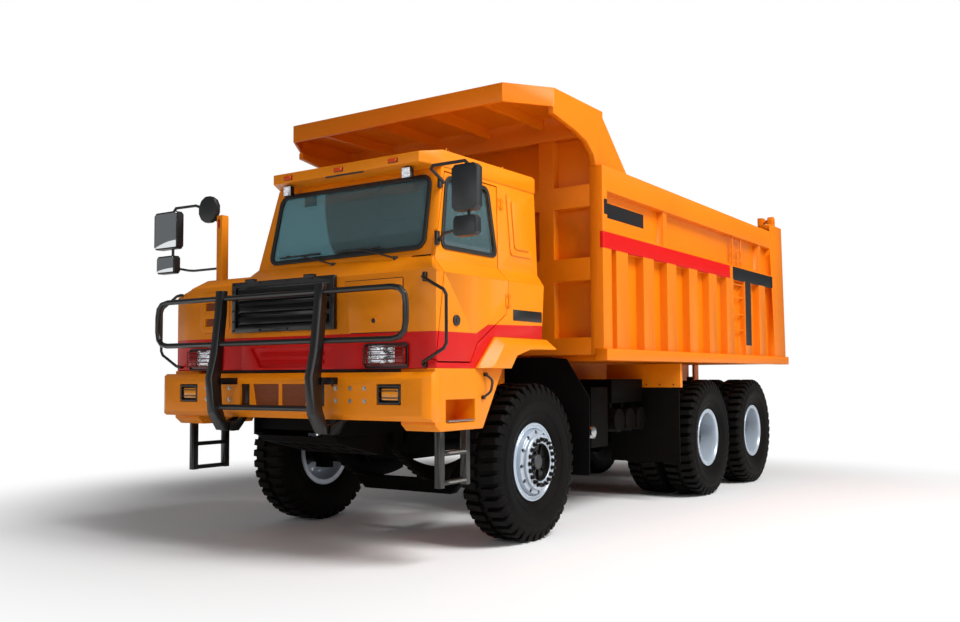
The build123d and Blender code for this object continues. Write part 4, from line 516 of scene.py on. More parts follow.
class EffectGroups:
    """Builds each shared effect once."""

    def __init__(self) -> None:
        """Makes all the groups."""
        self.groups = {
            Effect.DUST: self._dust(),
            Effect.DRIFT: self._drift(),
            Effect.GRAIN: self._grain(),
            Effect.STRIPE: self._stripe(),
            Effect.SCUFF: self._scuff(),
        }

    @staticmethod
    def _start(
        effect: Effect, inputs: Sequence[tuple[str, str, object]], outputs: Sequence[tuple[str, str]],
    ) -> tuple[bpy.types.NodeTree, Nodes, bpy.types.Node, bpy.types.Node]:
        """Makes a group with named sockets.

        Args:
            effect: The effect that the group makes.
            inputs: Name, kind and first value of each input.
            outputs: Name and kind of each output.

        Returns:
            The group, its node adder, its input node and its output node.
        """
        tree = bpy.data.node_groups.new(effect.value, "ShaderNodeTree")
        for name, kind, value in inputs:
            socket = tree.interface.new_socket(name, in_out="INPUT", socket_type=kind)
            socket.default_value = value
        for name, kind in outputs:
            tree.interface.new_socket(name, in_out="OUTPUT", socket_type=kind)
        nodes = Nodes(tree)
        return tree, nodes, nodes.add("NodeGroupInput"), nodes.add("NodeGroupOutput")

    def _dust(self) -> bpy.types.NodeTree:
        """Returns dust that lies low on the truck and on faces that look up."""
        tree, nodes, source, result = self._start(
            Effect.DUST,
            (
                ("Color", "NodeSocketColor", (0.5, 0.5, 0.5, 1)),
                ("Dust Color", "NodeSocketColor", (0.3, 0.24, 0.18, 1)),
                ("Amount", "NodeSocketFloat", 0.3),
                ("Reach", "NodeSocketFloat", 1.5),
            ),
            (("Color", "NodeSocketColor"), ("Mask", "NodeSocketFloat")),
        )
        place = nodes.place()
        height = nodes.add("ShaderNodeSeparateXYZ", {0: place}).outputs["Z"]
        low = nodes.maths("SUBTRACT", 1.0, nodes.maths("DIVIDE", height, source.outputs["Reach"]))
        low = nodes.between(low, (0.0, 1.0))
        facing = nodes.add("ShaderNodeSeparateXYZ", {0: nodes.add("ShaderNodeNewGeometry").outputs["Normal"]})
        up = nodes.between(facing.outputs["Z"], (0.3, 1.0), (0.0, 0.45))
        cloud = nodes.add(
            "ShaderNodeTexNoise", {"Vector": place, "Scale": 5.0, "Detail": 6.0, "Roughness": 0.6},
        )
        cloud = nodes.between(cloud.outputs[0], (0.35, 0.75))
        laid = nodes.maths("MULTIPLY", nodes.maths("ADD", low, up), cloud)
        mask = nodes.maths("MULTIPLY", laid, source.outputs["Amount"])
        mask = nodes.between(mask, (0.0, 1.0))
        nodes.give(result, "Color", nodes.blend(mask, source.outputs["Color"], source.outputs["Dust Color"]))
        nodes.give(result, "Mask", mask)
        return tree

    def _drift(self) -> bpy.types.NodeTree:
        """Returns a colour that grows a little lighter and darker over the surface."""
        tree, nodes, source, result = self._start(
            Effect.DRIFT,
            (
                ("Color", "NodeSocketColor", (0.5, 0.5, 0.5, 1)),
                ("Scale", "NodeSocketFloat", 1.0),
                ("Share", "NodeSocketFloat", 0.1),
            ),
            (("Color", "NodeSocketColor"),),
        )
        place = nodes.place()
        cloud = nodes.add(
            "ShaderNodeTexNoise", {"Vector": place, "Scale": source.outputs["Scale"], "Detail": 3.0},
        )
        share = nodes.maths("MULTIPLY", nodes.between(cloud.outputs[0], (0.3, 0.7)), source.outputs["Share"])
        nodes.give(result, "Color", nodes.blend(share, source.outputs["Color"], (0.02, 0.01, 0.0)))
        return tree

    def _grain(self) -> bpy.types.NodeTree:
        """Returns the height of a fine even grain."""
        tree, nodes, source, result = self._start(
            Effect.GRAIN,
            (("Scale", "NodeSocketFloat", 120.0), ("Detail", "NodeSocketFloat", 2.0)),
            (("Height", "NodeSocketFloat"),),
        )
        place = nodes.place()
        noise = nodes.add(
            "ShaderNodeTexNoise",
            {"Vector": place, "Scale": source.outputs["Scale"], "Detail": source.outputs["Detail"]},
        )
        nodes.give(result, "Height", noise.outputs[0])
        return tree

    def _stripe(self) -> bpy.types.NodeTree:
        """Returns 1 where a value lies between two limits, and 0 elsewhere."""
        tree, nodes, source, result = self._start(
            Effect.STRIPE,
            (
                ("Value", "NodeSocketFloat", 0.0),
                ("Low", "NodeSocketFloat", 0.0),
                ("High", "NodeSocketFloat", 1.0),
            ),
            (("Mask", "NodeSocketFloat"),),
        )
        above = nodes.maths("GREATER_THAN", source.outputs["Value"], source.outputs["Low"])
        below = nodes.maths("LESS_THAN", source.outputs["Value"], source.outputs["High"])
        nodes.give(result, "Mask", nodes.maths("MULTIPLY", above, below))
        return tree

    def _scuff(self) -> bpy.types.NodeTree:
        """Returns small worn spots and scratches."""
        tree, nodes, source, result = self._start(
            Effect.SCUFF,
            (("Scale", "NodeSocketFloat", 14.0), ("Amount", "NodeSocketFloat", 0.3)),
            (("Mask", "NodeSocketFloat"),),
        )
        place = nodes.place()
        spots = nodes.add(
            "ShaderNodeTexNoise",
            {"Vector": place, "Scale": source.outputs["Scale"], "Detail": 8.0, "Roughness": 0.75},
        )
        worn = nodes.between(spots.outputs[0], (0.58, 0.7))
        nodes.give(result, "Mask", nodes.maths("MULTIPLY", worn, source.outputs["Amount"]))
        return tree

    def use(self, nodes: Nodes, effect: Effect, values: dict) -> bpy.types.Node:
        """Places an effect in a material.

        Args:
            nodes: The material's node adder.
            effect: The effect wanted.
            values: Its input values or sockets.

        Returns:
            The group node.
        """
        node = nodes.add("ShaderNodeGroup", node_tree=self.groups[effect])
        for key, value in values.items():
            if isinstance(value, tuple) and len(value) == 3:
                value = (*value, 1.0)
            nodes.give(node, key, value)
        return node


@dataclass(frozen=True)
class Stripe:
    """A painted area between limits of the frame's axes.

    Attributes:
        colour: Its colour.
        x: Its rear and front end.
        z: Its low and high edge.
        y_out: It lies only this far from the middle or further.
    """

    colour: Colour
    x: Pair
    z: Pair
    y_out: float = 0.0


@dataclass(frozen=True)
class Finish:
    """A finish of one colour with its grain, dust and wear.

    Attributes:
        name: Name of the material.
        colour: Base colour, linear.
        roughness: Roughness where it is clean.
        metallic: Metallic value.
        coat: Weight of a clear coat.
        drift: Strength of its slow change of tone.
        grain: Scale of its grain.
        bump: Height of its grain in metres.
        dust: Amount of dust.
        dust_reach: Height over the ground where dust ends.
        scuff: Amount of worn spots.
        stripes: Painted areas over the base colour.
        raked: Whether the lower body's red area, with its raked rear end, is painted.
        shine: Specular level.
        DRIFT_SCALE: Scale of the slow change of tone, the same for all.
        DUST_ROUGHNESS: Roughness under full dust, the same for all.
        COAT_ROUGHNESS: Roughness of a clear coat, the same for all.
    """

    DRIFT_SCALE: ClassVar[float] = 0.9
    DUST_ROUGHNESS: ClassVar[float] = 0.95
    COAT_ROUGHNESS: ClassVar[float] = 0.08

    name: str
    colour: Colour
    roughness: float = 0.4
    metallic: float = 0.0
    coat: float = 0.0
    drift: float = 0.12
    grain: float = 160.0
    bump: float = 0.0002
    dust: float = 0.3
    dust_reach: float = 1.6
    scuff: float = 0.0
    stripes: tuple[Stripe, ...] = ()
    raked: bool = False
    shine: float = 0.5

    def build(self, effects: EffectGroups) -> bpy.types.Material:
        """Makes the material.

        Args:
            effects: The shared node groups.

        Returns:
            The new material.
        """
        material, nodes, shader = new_material(self.name)
        colour = effects.use(
            nodes, Effect.DRIFT, {"Color": self.colour, "Scale": self.DRIFT_SCALE, "Share": self.drift},
        ).outputs["Color"]
        place = nodes.place()
        spot = nodes.add("ShaderNodeSeparateXYZ", {0: place})
        out = nodes.maths("ABSOLUTE", spot.outputs["Y"])
        for stripe in self.stripes:
            along = effects.use(
                nodes, Effect.STRIPE, {"Value": spot.outputs["X"], "Low": stripe.x[0], "High": stripe.x[1]},
            ).outputs["Mask"]
            upward = effects.use(
                nodes, Effect.STRIPE, {"Value": spot.outputs["Z"], "Low": stripe.z[0], "High": stripe.z[1]},
            ).outputs["Mask"]
            outward = nodes.maths("GREATER_THAN", out, stripe.y_out)
            mask = nodes.maths("MULTIPLY", nodes.maths("MULTIPLY", along, upward), outward)
            colour = nodes.blend(mask, colour, stripe.colour)
        if self.raked:
            rise = nodes.between(spot.outputs["X"], (ahead(1.103), ahead(0.924)), (1.93, 2.012))
            tail = nodes.between(spot.outputs["X"], (ahead(0.924), ahead(0.023)), (0.0, 0.025))
            mask = nodes.maths("LESS_THAN", spot.outputs["Z"], nodes.maths("ADD", rise, tail))
            colour = nodes.blend(mask, colour, Palette.RED)
        dusty = effects.use(
            nodes, Effect.DUST,
            {"Color": colour, "Dust Color": Palette.DUST, "Amount": self.dust, "Reach": self.dust_reach},
        )
        nodes.give(shader, "Base Color", dusty.outputs["Color"])
        rough = nodes.between(dusty.outputs["Mask"], (0.0, 1.0), (self.roughness, self.DUST_ROUGHNESS))
        if self.scuff > 0:
            worn = effects.use(nodes, Effect.SCUFF, {"Amount": self.scuff}).outputs["Mask"]
            nodes.give(shader, "Base Color", nodes.blend(worn, dusty.outputs["Color"], Palette.WORN_STEEL))
            rough = nodes.maths("ADD", rough, nodes.maths("MULTIPLY", worn, 0.3))
        nodes.give(shader, "Roughness", rough)
        nodes.give(shader, "Metallic", self.metallic)
        nodes.give(shader, "Specular IOR Level", self.shine)
        nodes.give(shader, "Coat Weight", self.coat)
        nodes.give(shader, "Coat Roughness", self.COAT_ROUGHNESS)
        grain = effects.use(nodes, Effect.GRAIN, {"Scale": self.grain}).outputs["Height"]
        bump = nodes.add("ShaderNodeBump", {"Height": grain, "Strength": 1.0, "Distance": self.bump})
        nodes.give(shader, "Normal", bump.outputs["Normal"])
        return material


@dataclass(frozen=True)
class Glass:
    """A clear or tinted pane or lens.

    Attributes:
        name: Name of the material.
        colour: Tint, linear; for the windows it is partly their tint and partly a painted reflection of the
            sky.
        roughness: Roughness of its surface.
        transmission: Share of light that it lets through.
        REFRACTION: Index of refraction, the same for all.
    """

    REFRACTION: ClassVar[float] = 1.45

    name: str
    colour: Colour
    roughness: float = 0.03
    transmission: float = 1.0

    def build(self, effects: EffectGroups) -> bpy.types.Material:
        """Makes the material, with a light film of dust on the pane."""
        material, nodes, shader = new_material(self.name)
        film = effects.use(
            nodes, Effect.DUST,
            {"Color": self.colour, "Dust Color": Palette.DUST, "Amount": 0.05, "Reach": 4.0},
        )
        nodes.give(shader, "Base Color", film.outputs["Color"])
        nodes.give(
            shader, "Roughness",
            nodes.between(film.outputs["Mask"], (0.0, 0.2), (self.roughness, self.roughness + 0.12)),
        )
        nodes.give(shader, "Transmission Weight", self.transmission)
        nodes.give(shader, "IOR", self.REFRACTION)
        return material


class Palette:
    """Colours and finishes of the truck."""

    ORANGE = srgb(240, 136, 0)
    BED_ORANGE = srgb(234, 122, 0)
    RED = srgb(204, 8, 4)
    BLACK = srgb(10, 11, 12)
    CHASSIS = srgb(5, 5, 6)
    STRIPE_BLACK = srgb(22, 24, 26)
    RUBBER = srgb(7, 7, 8)
    DUST = srgb(150, 128, 104)
    WORN_STEEL = srgb(120, 118, 114)
    SILVER = srgb(190, 202, 214)
    AMBER = srgb(246, 150, 10)
    LAMP_RED = srgb(190, 20, 12)

    def __init__(self, effects: EffectGroups) -> None:
        """Builds every finish.

        Args:
            effects: The shared node groups.
        """
        bed_stripes = (
            Stripe(self.RED, (ahead(-4.84), ahead(-0.97)), (2.885, 3.06), 1.735),
            Stripe(self.STRIPE_BLACK, (ahead(-6.72), ahead(-4.95)), (2.885, 3.06), 1.735),
            Stripe(self.STRIPE_BLACK, (ahead(-2.22), ahead(-1.01)), (3.243, 3.403), 1.665),
            Stripe(self.STRIPE_BLACK, (ahead(-5.71), ahead(-5.46)), (1.98, 2.885), 1.76),
        )
        bracket_areas = (
            Stripe(self.BLACK, (ahead(1.8385), ahead(3.0)), (0.5, 2.5)),
            Stripe(self.BLACK, (ahead(-1.0), ahead(3.0)), (0.5, 1.199)),
        )
        enamel = {"coat": 0.03, "dust": 0.02, "bump": 0.0001, "grain": 220, "shine": 0.28}
        recipes = (
            Finish("orange_enamel", self.ORANGE, 0.4, **enamel),
            Finish("bumper_enamel", self.ORANGE, 0.4, stripes=bracket_areas, **enamel),
            Finish("cab_enamel", self.ORANGE, 0.4, raked=True, **enamel),
            Finish(
                "bed_enamel", self.BED_ORANGE, 0.46, dust=0.02, dust_reach=2.4, bump=0.0002,
                grain=90, stripes=bed_stripes, shine=0.22,
            ),
            Finish("amber_lens", self.AMBER, 0.15, coat=0.5, bump=0.0001, grain=60),
            Finish("black_enamel", self.BLACK, 0.32, coat=0.12, dust=0.02, scuff=0.04, bump=0.0002),
            Finish(
                "chassis_black", self.CHASSIS, 0.6, dust=0.005, dust_reach=1.5, bump=0.0005, grain=60,
                shine=0.05,
            ),
            Finish(
                "tyre_rubber", self.RUBBER, 0.62, dust=0.01, dust_reach=1.7, bump=0.0006, grain=70,
                shine=0.09,
            ),
            Finish("seal_rubber", srgb(18, 18, 19), 0.45, dust=0.03, bump=0.0003, grain=140),
            Finish(
                "wheel_silver", self.SILVER, 0.3, 0.35, coat=0.2, dust=0.06, dust_reach=1.4, bump=0.0002,
                grain=110,
            ),
            Finish("guard_red", srgb(92, 8, 8), 0.35, coat=0.1, dust=0.02, bump=0.0001),
            Finish("hub_grey", srgb(62, 64, 68), 0.45, 0.2, dust=0.06, bump=0.0002, grain=140),
            Finish("nut_black", srgb(16, 16, 17), 0.32, 0.3, dust=0.05, bump=0.0001, grain=200),
            Finish("turned_steel", srgb(190, 190, 192), 0.22, 1.0, dust=0.05, bump=0.0001, grain=300),
            Finish(
                "galvanised", srgb(176, 176, 170), 0.42, 0.7, dust=0.08, bump=0.0004, grain=120,
                drift=0.3,
            ),
            Finish("bolt_steel", srgb(60, 60, 62), 0.4, 0.8, dust=0.1, bump=0.0002, grain=300),
            Finish("zinc_bolt", srgb(188, 186, 180), 0.3, 0.9, dust=0.05, bump=0.0002, grain=300),
            Finish("moulded_black", srgb(30, 32, 34), 0.42, dust=0.04, bump=0.0004, grain=260),
            Finish("dash_plastic", srgb(66, 68, 72), 0.6, dust=0.05, bump=0.0004, grain=240),
            Finish("mirror_silver", srgb(225, 228, 230), 0.03, 1.0, dust=0.01, bump=0.00001, drift=0.02),
            Finish("reflector_chrome", srgb(236, 236, 238), 0.1, 1.0, dust=0.01, bump=0.00005, drift=0.02),
            Finish("mesh_black", srgb(14, 14, 15), 0.5, dust=0.05, bump=0.0002),
            Finish("mesh_bronze", srgb(138, 66, 24), 0.45, dust=0.05, bump=0.0002),
            Finish("plate_black", srgb(16, 16, 16), 0.35, dust=0.03, bump=0.0001),
            # The windows' teal is partly the glass's tint and partly a painted reflection of the sky, lighter
            # than the tint alone; with transmission below one it shows as surface colour.
            Glass("window_tint_and_painted_sky", srgb(140, 176, 182), 0.03, 0.82),
            Glass("lamp_clear", srgb(244, 246, 248), 0.04),
            Glass("lamp_red", self.LAMP_RED, 0.12, 0.35),
            Glass("lamp_marker", srgb(236, 78, 10), 0.2, 0.15),
        )
        self.made = {recipe.name: recipe.build(effects) for recipe in recipes}
        self.made["seat_weave"] = self._seat_weave(effects)

    def __getitem__(self, name: str) -> bpy.types.Material:
        """Returns a finish by its name."""
        return self.made[name]

    def _seat_weave(self, effects: EffectGroups) -> bpy.types.Material:
        """Returns the woven cloth of the seats."""
        material, nodes, shader = new_material("seat_weave")
        place = nodes.place()
        threads = nodes.add("ShaderNodeTexWave", {"Vector": place, "Scale": 60.0, "Distortion": 0.6})
        across = nodes.add(
            "ShaderNodeTexWave", {"Vector": place, "Scale": 60.0, "Distortion": 0.6}, bands_direction="Z",
        )
        weave = nodes.maths("MULTIPLY", threads.outputs[1], across.outputs[1])
        colour = nodes.blend(weave, srgb(38, 40, 44), srgb(84, 88, 94))
        drift = {"Color": colour, "Scale": 3.0, "Share": 0.3}
        colour = effects.use(nodes, Effect.DRIFT, drift).outputs["Color"]
        nodes.give(shader, "Base Color", colour)
        nodes.give(shader, "Roughness", 0.9)
        nodes.give(shader, "Sheen Weight", 0.3)
        bump = nodes.add("ShaderNodeBump", {"Height": weave, "Strength": 0.6, "Distance": 0.001})
        nodes.give(shader, "Normal", bump.outputs["Normal"])
        return material


class FrameFinishes:
    """Gives each CAD node its material and its fine edges."""

    NODES_OF = {
        "chassis_black": (
            "frame_rails", "crossmembers", "front_axle", "rear_axles", "leaf_springs", "powertrain",
            "drive_shafts", "belly_guard", "mudguards", "side_tanks", "exhaust", "knuckle_left",
            "knuckle_right", "hoist_barrel",
        ),
        "bumper_enamel": ("bumper",),
        "cab_enamel": ("front_body", "cab_shell", "door"),
        "orange_enamel": ("cab_roof", "fenders", "step_boxes", "hatch_lid"),
        "bed_enamel": ("bed_floor", "bed_walls", "bed_front", "canopy", "tailgate"),
        "black_enamel": ("ladders", "handrails", "grille", "bull_bar"),
        "moulded_black": ("mirrors", "lamps"),
        # The windows take the glass whose colour holds a painted reflection of the sky.
        "window_tint_and_painted_sky": ("cab_glass", "door_glass"),
        "seat_weave": ("cab_seats",),
        "dash_plastic": ("cab_dash",),
        "turned_steel": ("hoist_stage_1", "hoist_stage_2", "hoist_rod"),
    }
    FINISH_OF = {node: finish for finish, nodes in NODES_OF.items() for node in nodes}
    EDGE_WIDTH = {
        "bumper": 0.006, "front_body": 0.012, "cab_shell": 0.01, "cab_roof": 0.012, "door": 0.003,
        "fenders": 0.01, "step_boxes": 0.008, "hatch_lid": 0.003, "canopy": 0.006, "bed_walls": 0.005,
        "bed_front": 0.005, "bed_floor": 0.004, "tailgate": 0.005, "bull_bar": 0.006, "mirrors": 0.014,
        "grille": 0.003,
    }
    PLAIN_EDGE = 0.002
    EDGE_ANGLE = math.radians(24)
    WELD_DISTANCE = 0.00002

    def __init__(self, palette: Palette) -> None:
        """Takes the finishes."""
        self.palette = palette

    def dress(self) -> None:
        """Gives every node its finish, and the pressed panels their rounded edges."""
        for name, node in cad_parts.items():
            if name.startswith("tyre_"):
                finish = "tyre_rubber"
            elif name.startswith("wheel_"):
                finish = "wheel_silver"
            else:
                finish = self.FINISH_OF[name]
            node.data.materials.clear()
            node.data.materials.append(self.palette[finish])
            node.data.shade_smooth()
            weld = node.modifiers.new("weld", "WELD")
            weld.merge_threshold = self.WELD_DISTANCE
            bevel = node.modifiers.new("edges", "BEVEL")
            bevel.width = self.EDGE_WIDTH.get(name, self.PLAIN_EDGE)
            bevel.segments = 2
            bevel.limit_method = "ANGLE"
            bevel.angle_limit = self.EDGE_ANGLE
            bevel.harden_normals = True
            bevel.use_clamp_overlap = True
            logger.info("%s: %s", name, finish)


@dataclass
class Studio:
    """Camera, floor and lights.

    Attributes:
        eye: Where the camera stands.
        yaw: Its heading in degrees from +X.
        pitch: How far it looks up, in degrees.
        roll: Its tilt about the line of sight, in degrees.
        lens: Focal length in millimetres on a sensor 36 mm wide.
        shift: Vertical shift as a share of the picture's width.
        floor_half: Half the floor's width.
        fade: Distance from the middle where the floor starts and ends its fade to white.
    """

    eye: Point = (10.4374, 6.1522, 1.5653)
    yaw: float = 213.9823
    pitch: float = 3.0206
    roll: float = -0.3043
    lens: float = 35.52
    shift: float = 0.01555
    floor_half: float = 90.0
    fade: Pair = (4.6, 8.2)

    def camera(self) -> None:
        """Sets the camera where the photographer stood."""
        yaw, pitch, roll = (math.radians(a) for a in (self.yaw, self.pitch, self.roll))
        forward = Vector((math.cos(yaw) * math.cos(pitch), math.sin(yaw) * math.cos(pitch), math.sin(pitch)))
        right = forward.cross(Vector((0, 0, 1))).normalized()
        up = right.cross(forward)
        tilted_right = right * math.cos(roll) + up * math.sin(roll)
        tilted_up = up * math.cos(roll) - right * math.sin(roll)
        turn = Matrix((tilted_right, tilted_up, -forward)).transposed().to_4x4()
        lens = bpy.data.cameras.new("studio_camera")
        lens.lens = self.lens
        lens.sensor_width = 36.0
        lens.shift_y = self.shift
        lens.clip_end = 400.0
        camera = bpy.data.objects.new("studio_camera", lens)
        camera.matrix_world = Matrix.Translation(self.eye) @ turn
        bpy.context.scene.collection.objects.link(camera)
        bpy.context.scene.camera = camera

    def floor(self) -> None:
        """Lays a pale floor that fades to white far out."""
        shape = Shape()
        half = self.floor_half
        corners = [(-half, -half, -0.02), (half, -half, -0.02), (half, half, -0.02), (-half, half, -0.02)]
        shape.plate(corners, (0, 0, 0.0199))
        material, nodes, shader = new_material("studio_floor")
        tree = material.node_tree
        nodes.give(shader, "Base Color", (0.95, 0.95, 0.95, 1))
        nodes.give(shader, "Roughness", 0.6)
        nodes.give(shader, "Specular IOR Level", 0.15)
        white = nodes.add("ShaderNodeEmission", {"Color": (1, 1, 1, 1), "Strength": 1.0})
        place = nodes.place()
        far = nodes.add("ShaderNodeVectorMath", {0: place}, operation="LENGTH").outputs["Value"]
        share = nodes.between(far, self.fade, soft=True)
        rays = nodes.add("ShaderNodeLightPath")
        seen = nodes.maths("MAXIMUM", rays.outputs["Is Camera Ray"], rays.outputs["Is Glossy Ray"])
        seen = nodes.maths("MAXIMUM", seen, rays.outputs["Is Transmission Ray"])
        mix = nodes.add("ShaderNodeMixShader", {0: nodes.maths("MULTIPLY", share, seen)})
        tree.links.new(shader.outputs[0], mix.inputs[1])
        tree.links.new(white.outputs[0], mix.inputs[2])
        tree.links.new(mix.outputs[0], tree.nodes["Material Output"].inputs["Surface"])
        floor = shape.finish("studio_floor", material)

    def world(self) -> None:
        """Fills the room with soft light and shows white behind the truck."""
        world = bpy.data.worlds.new("studio_world")
        world.use_nodes = True
        bpy.context.scene.world = world
        tree = world.node_tree
        nodes = Nodes(tree)
        light = tree.nodes["Background"]
        light.inputs["Color"].default_value = (0.93, 0.97, 1.0, 1)
        light.inputs["Strength"].default_value = 0.17
        white = nodes.add("ShaderNodeBackground", {"Color": (1, 1, 1, 1), "Strength": 1.0})
        rays = nodes.add("ShaderNodeLightPath")
        seen = nodes.maths("MAXIMUM", rays.outputs["Is Camera Ray"], rays.outputs["Is Transmission Ray"])
        mix = nodes.add("ShaderNodeMixShader", {0: seen})
        tree.links.new(light.outputs[0], mix.inputs[1])
        tree.links.new(white.outputs[0], mix.inputs[2])
        tree.links.new(mix.outputs[0], tree.nodes["World Output"].inputs["Surface"])

    def lamp(self, name: str, place: Point, target: Point, size: Pair, power: float) -> None:
        """Hangs a soft lamp.

        Args:
            name: Name of the lamp.
            place: Its middle.
            target: The point that it faces.
            size: Its width and height.
            power: Its power in watts.
        """
        light = bpy.data.lights.new(name, "AREA")
        light.shape = "RECTANGLE"
        light.size, light.size_y = size
        light.energy = power
        lamp = bpy.data.objects.new(name, light)
        turn = (Vector(target) - Vector(place)).to_track_quat("-Z", "Y")
        lamp.matrix_world = Matrix.Translation(place) @ turn.to_matrix().to_4x4()
        bpy.context.scene.collection.objects.link(lamp)

    def build(self) -> None:
        """Sets up the whole studio."""
        bpy.context.scene.view_settings.view_transform = "Standard"
        self.camera()
        self.floor()
        self.world()
        self.lamp("key_softbox", (3.0, 12.0, 14.0), (0.0, 0.0, 1.5), (7.0, 7.0), 3050.0)
        self.lamp("side_softbox", (-3.0, 15.0, 6.0), (-1.0, 0.0, 1.8), (10.0, 6.0), 480.0)
        self.lamp("front_softbox", (16.0, 1.0, 6.0), (2.0, 0.0, 1.6), (8.0, 6.0), 300.0)


@dataclass
class TyreForm:
    """A round tyre about the Y axis, its middle at the origin.

    Attributes:
        radius: Radius over the lugs.
        lugs: Lugs round each shoulder.
        lug_half: Half the width of a lug round the tyre.
        wall: The outer side's (distance from the middle, radius) from the bead to the tread.
        rings: Radius of each raised ring on the wall.
        ring_thickness: Radius of a ring's own section.
        ring_sunk: How deep a ring's middle lies in the wall.
    """

    radius: float = 0.7455
    lugs: int = 40
    lug_half: float = 0.034
    wall: tuple[Pair, ...] = (
        (0.1495, 0.3256), (0.1495, 0.381), (0.158, 0.392), (0.176, 0.424), (0.194, 0.466), (0.208, 0.515),
        (0.2152, 0.562), (0.2152, 0.588), (0.211, 0.630), (0.202, 0.668), (0.188, 0.694), (0.165, 0.7015),
        (0.085, 0.704),
    )
    rings: Sequence[float] = (0.402, 0.476, 0.482, 0.588, 0.606)
    ring_thickness: float = 0.0028
    ring_sunk: float = 0.0005

    def wall_at(self, radius: float) -> float:
        """Returns how far the wall lies from the tyre's middle at a radius."""
        for low, high in zip(self.wall[1:], self.wall[2:]):
            if low[1] <= radius <= high[1]:
                return low[0] + (high[0] - low[0]) * (radius - low[1]) / (high[1] - low[1])
        return self.wall[-1][0]

    def carcass(self) -> Shape:
        """Returns the carcass with the rings on both walls."""
        outline = [*self.wall, *((-along, radius) for along, radius in reversed(self.wall))]
        shape = Shape().turned(outline, 0.006)
        for ring in self.rings:
            for face in SIDES:
                shape.ring(face * (self.wall_at(ring) - self.ring_sunk), ring, self.ring_thickness)
        return shape

    def lug_row(self, side: int, start: float) -> Shape:
        """Returns the lugs of one shoulder.

        Args:
            side: The shoulder, 1 outboard or -1 inboard.
            start: Angle of the first lug.
        """
        top = self.radius
        outline = [
            (0.026, 0.69), (0.026, top), (0.166, top - 0.001), (0.184, top - 0.009), (0.203, 0.692),
            (0.2125, 0.648), (0.205, 0.641), (0.18, 0.66),
        ]
        corners = [(-self.lug_half, side * along, radius) for along, radius in outline]
        lugs = Shape().plate(corners, (2 * self.lug_half, 0, 0), 0.0045, 1)
        slant = Matrix.Rotation(side * math.radians(4), 3, "Z")
        bmesh.ops.rotate(lugs.mesh, cent=(0, 0, 0), matrix=slant, verts=list(lugs.mesh.verts))
        return lugs.array(self.lugs, start)

    def build(self) -> Shape:
        """Returns the whole tyre."""
        tyre = self.carcass()
        tyre.put(self.lug_row(1, 0.0), (0, 0, 0))
        tyre.put(self.lug_row(-1, math.pi / self.lugs), (0, 0, 0))
        return tyre


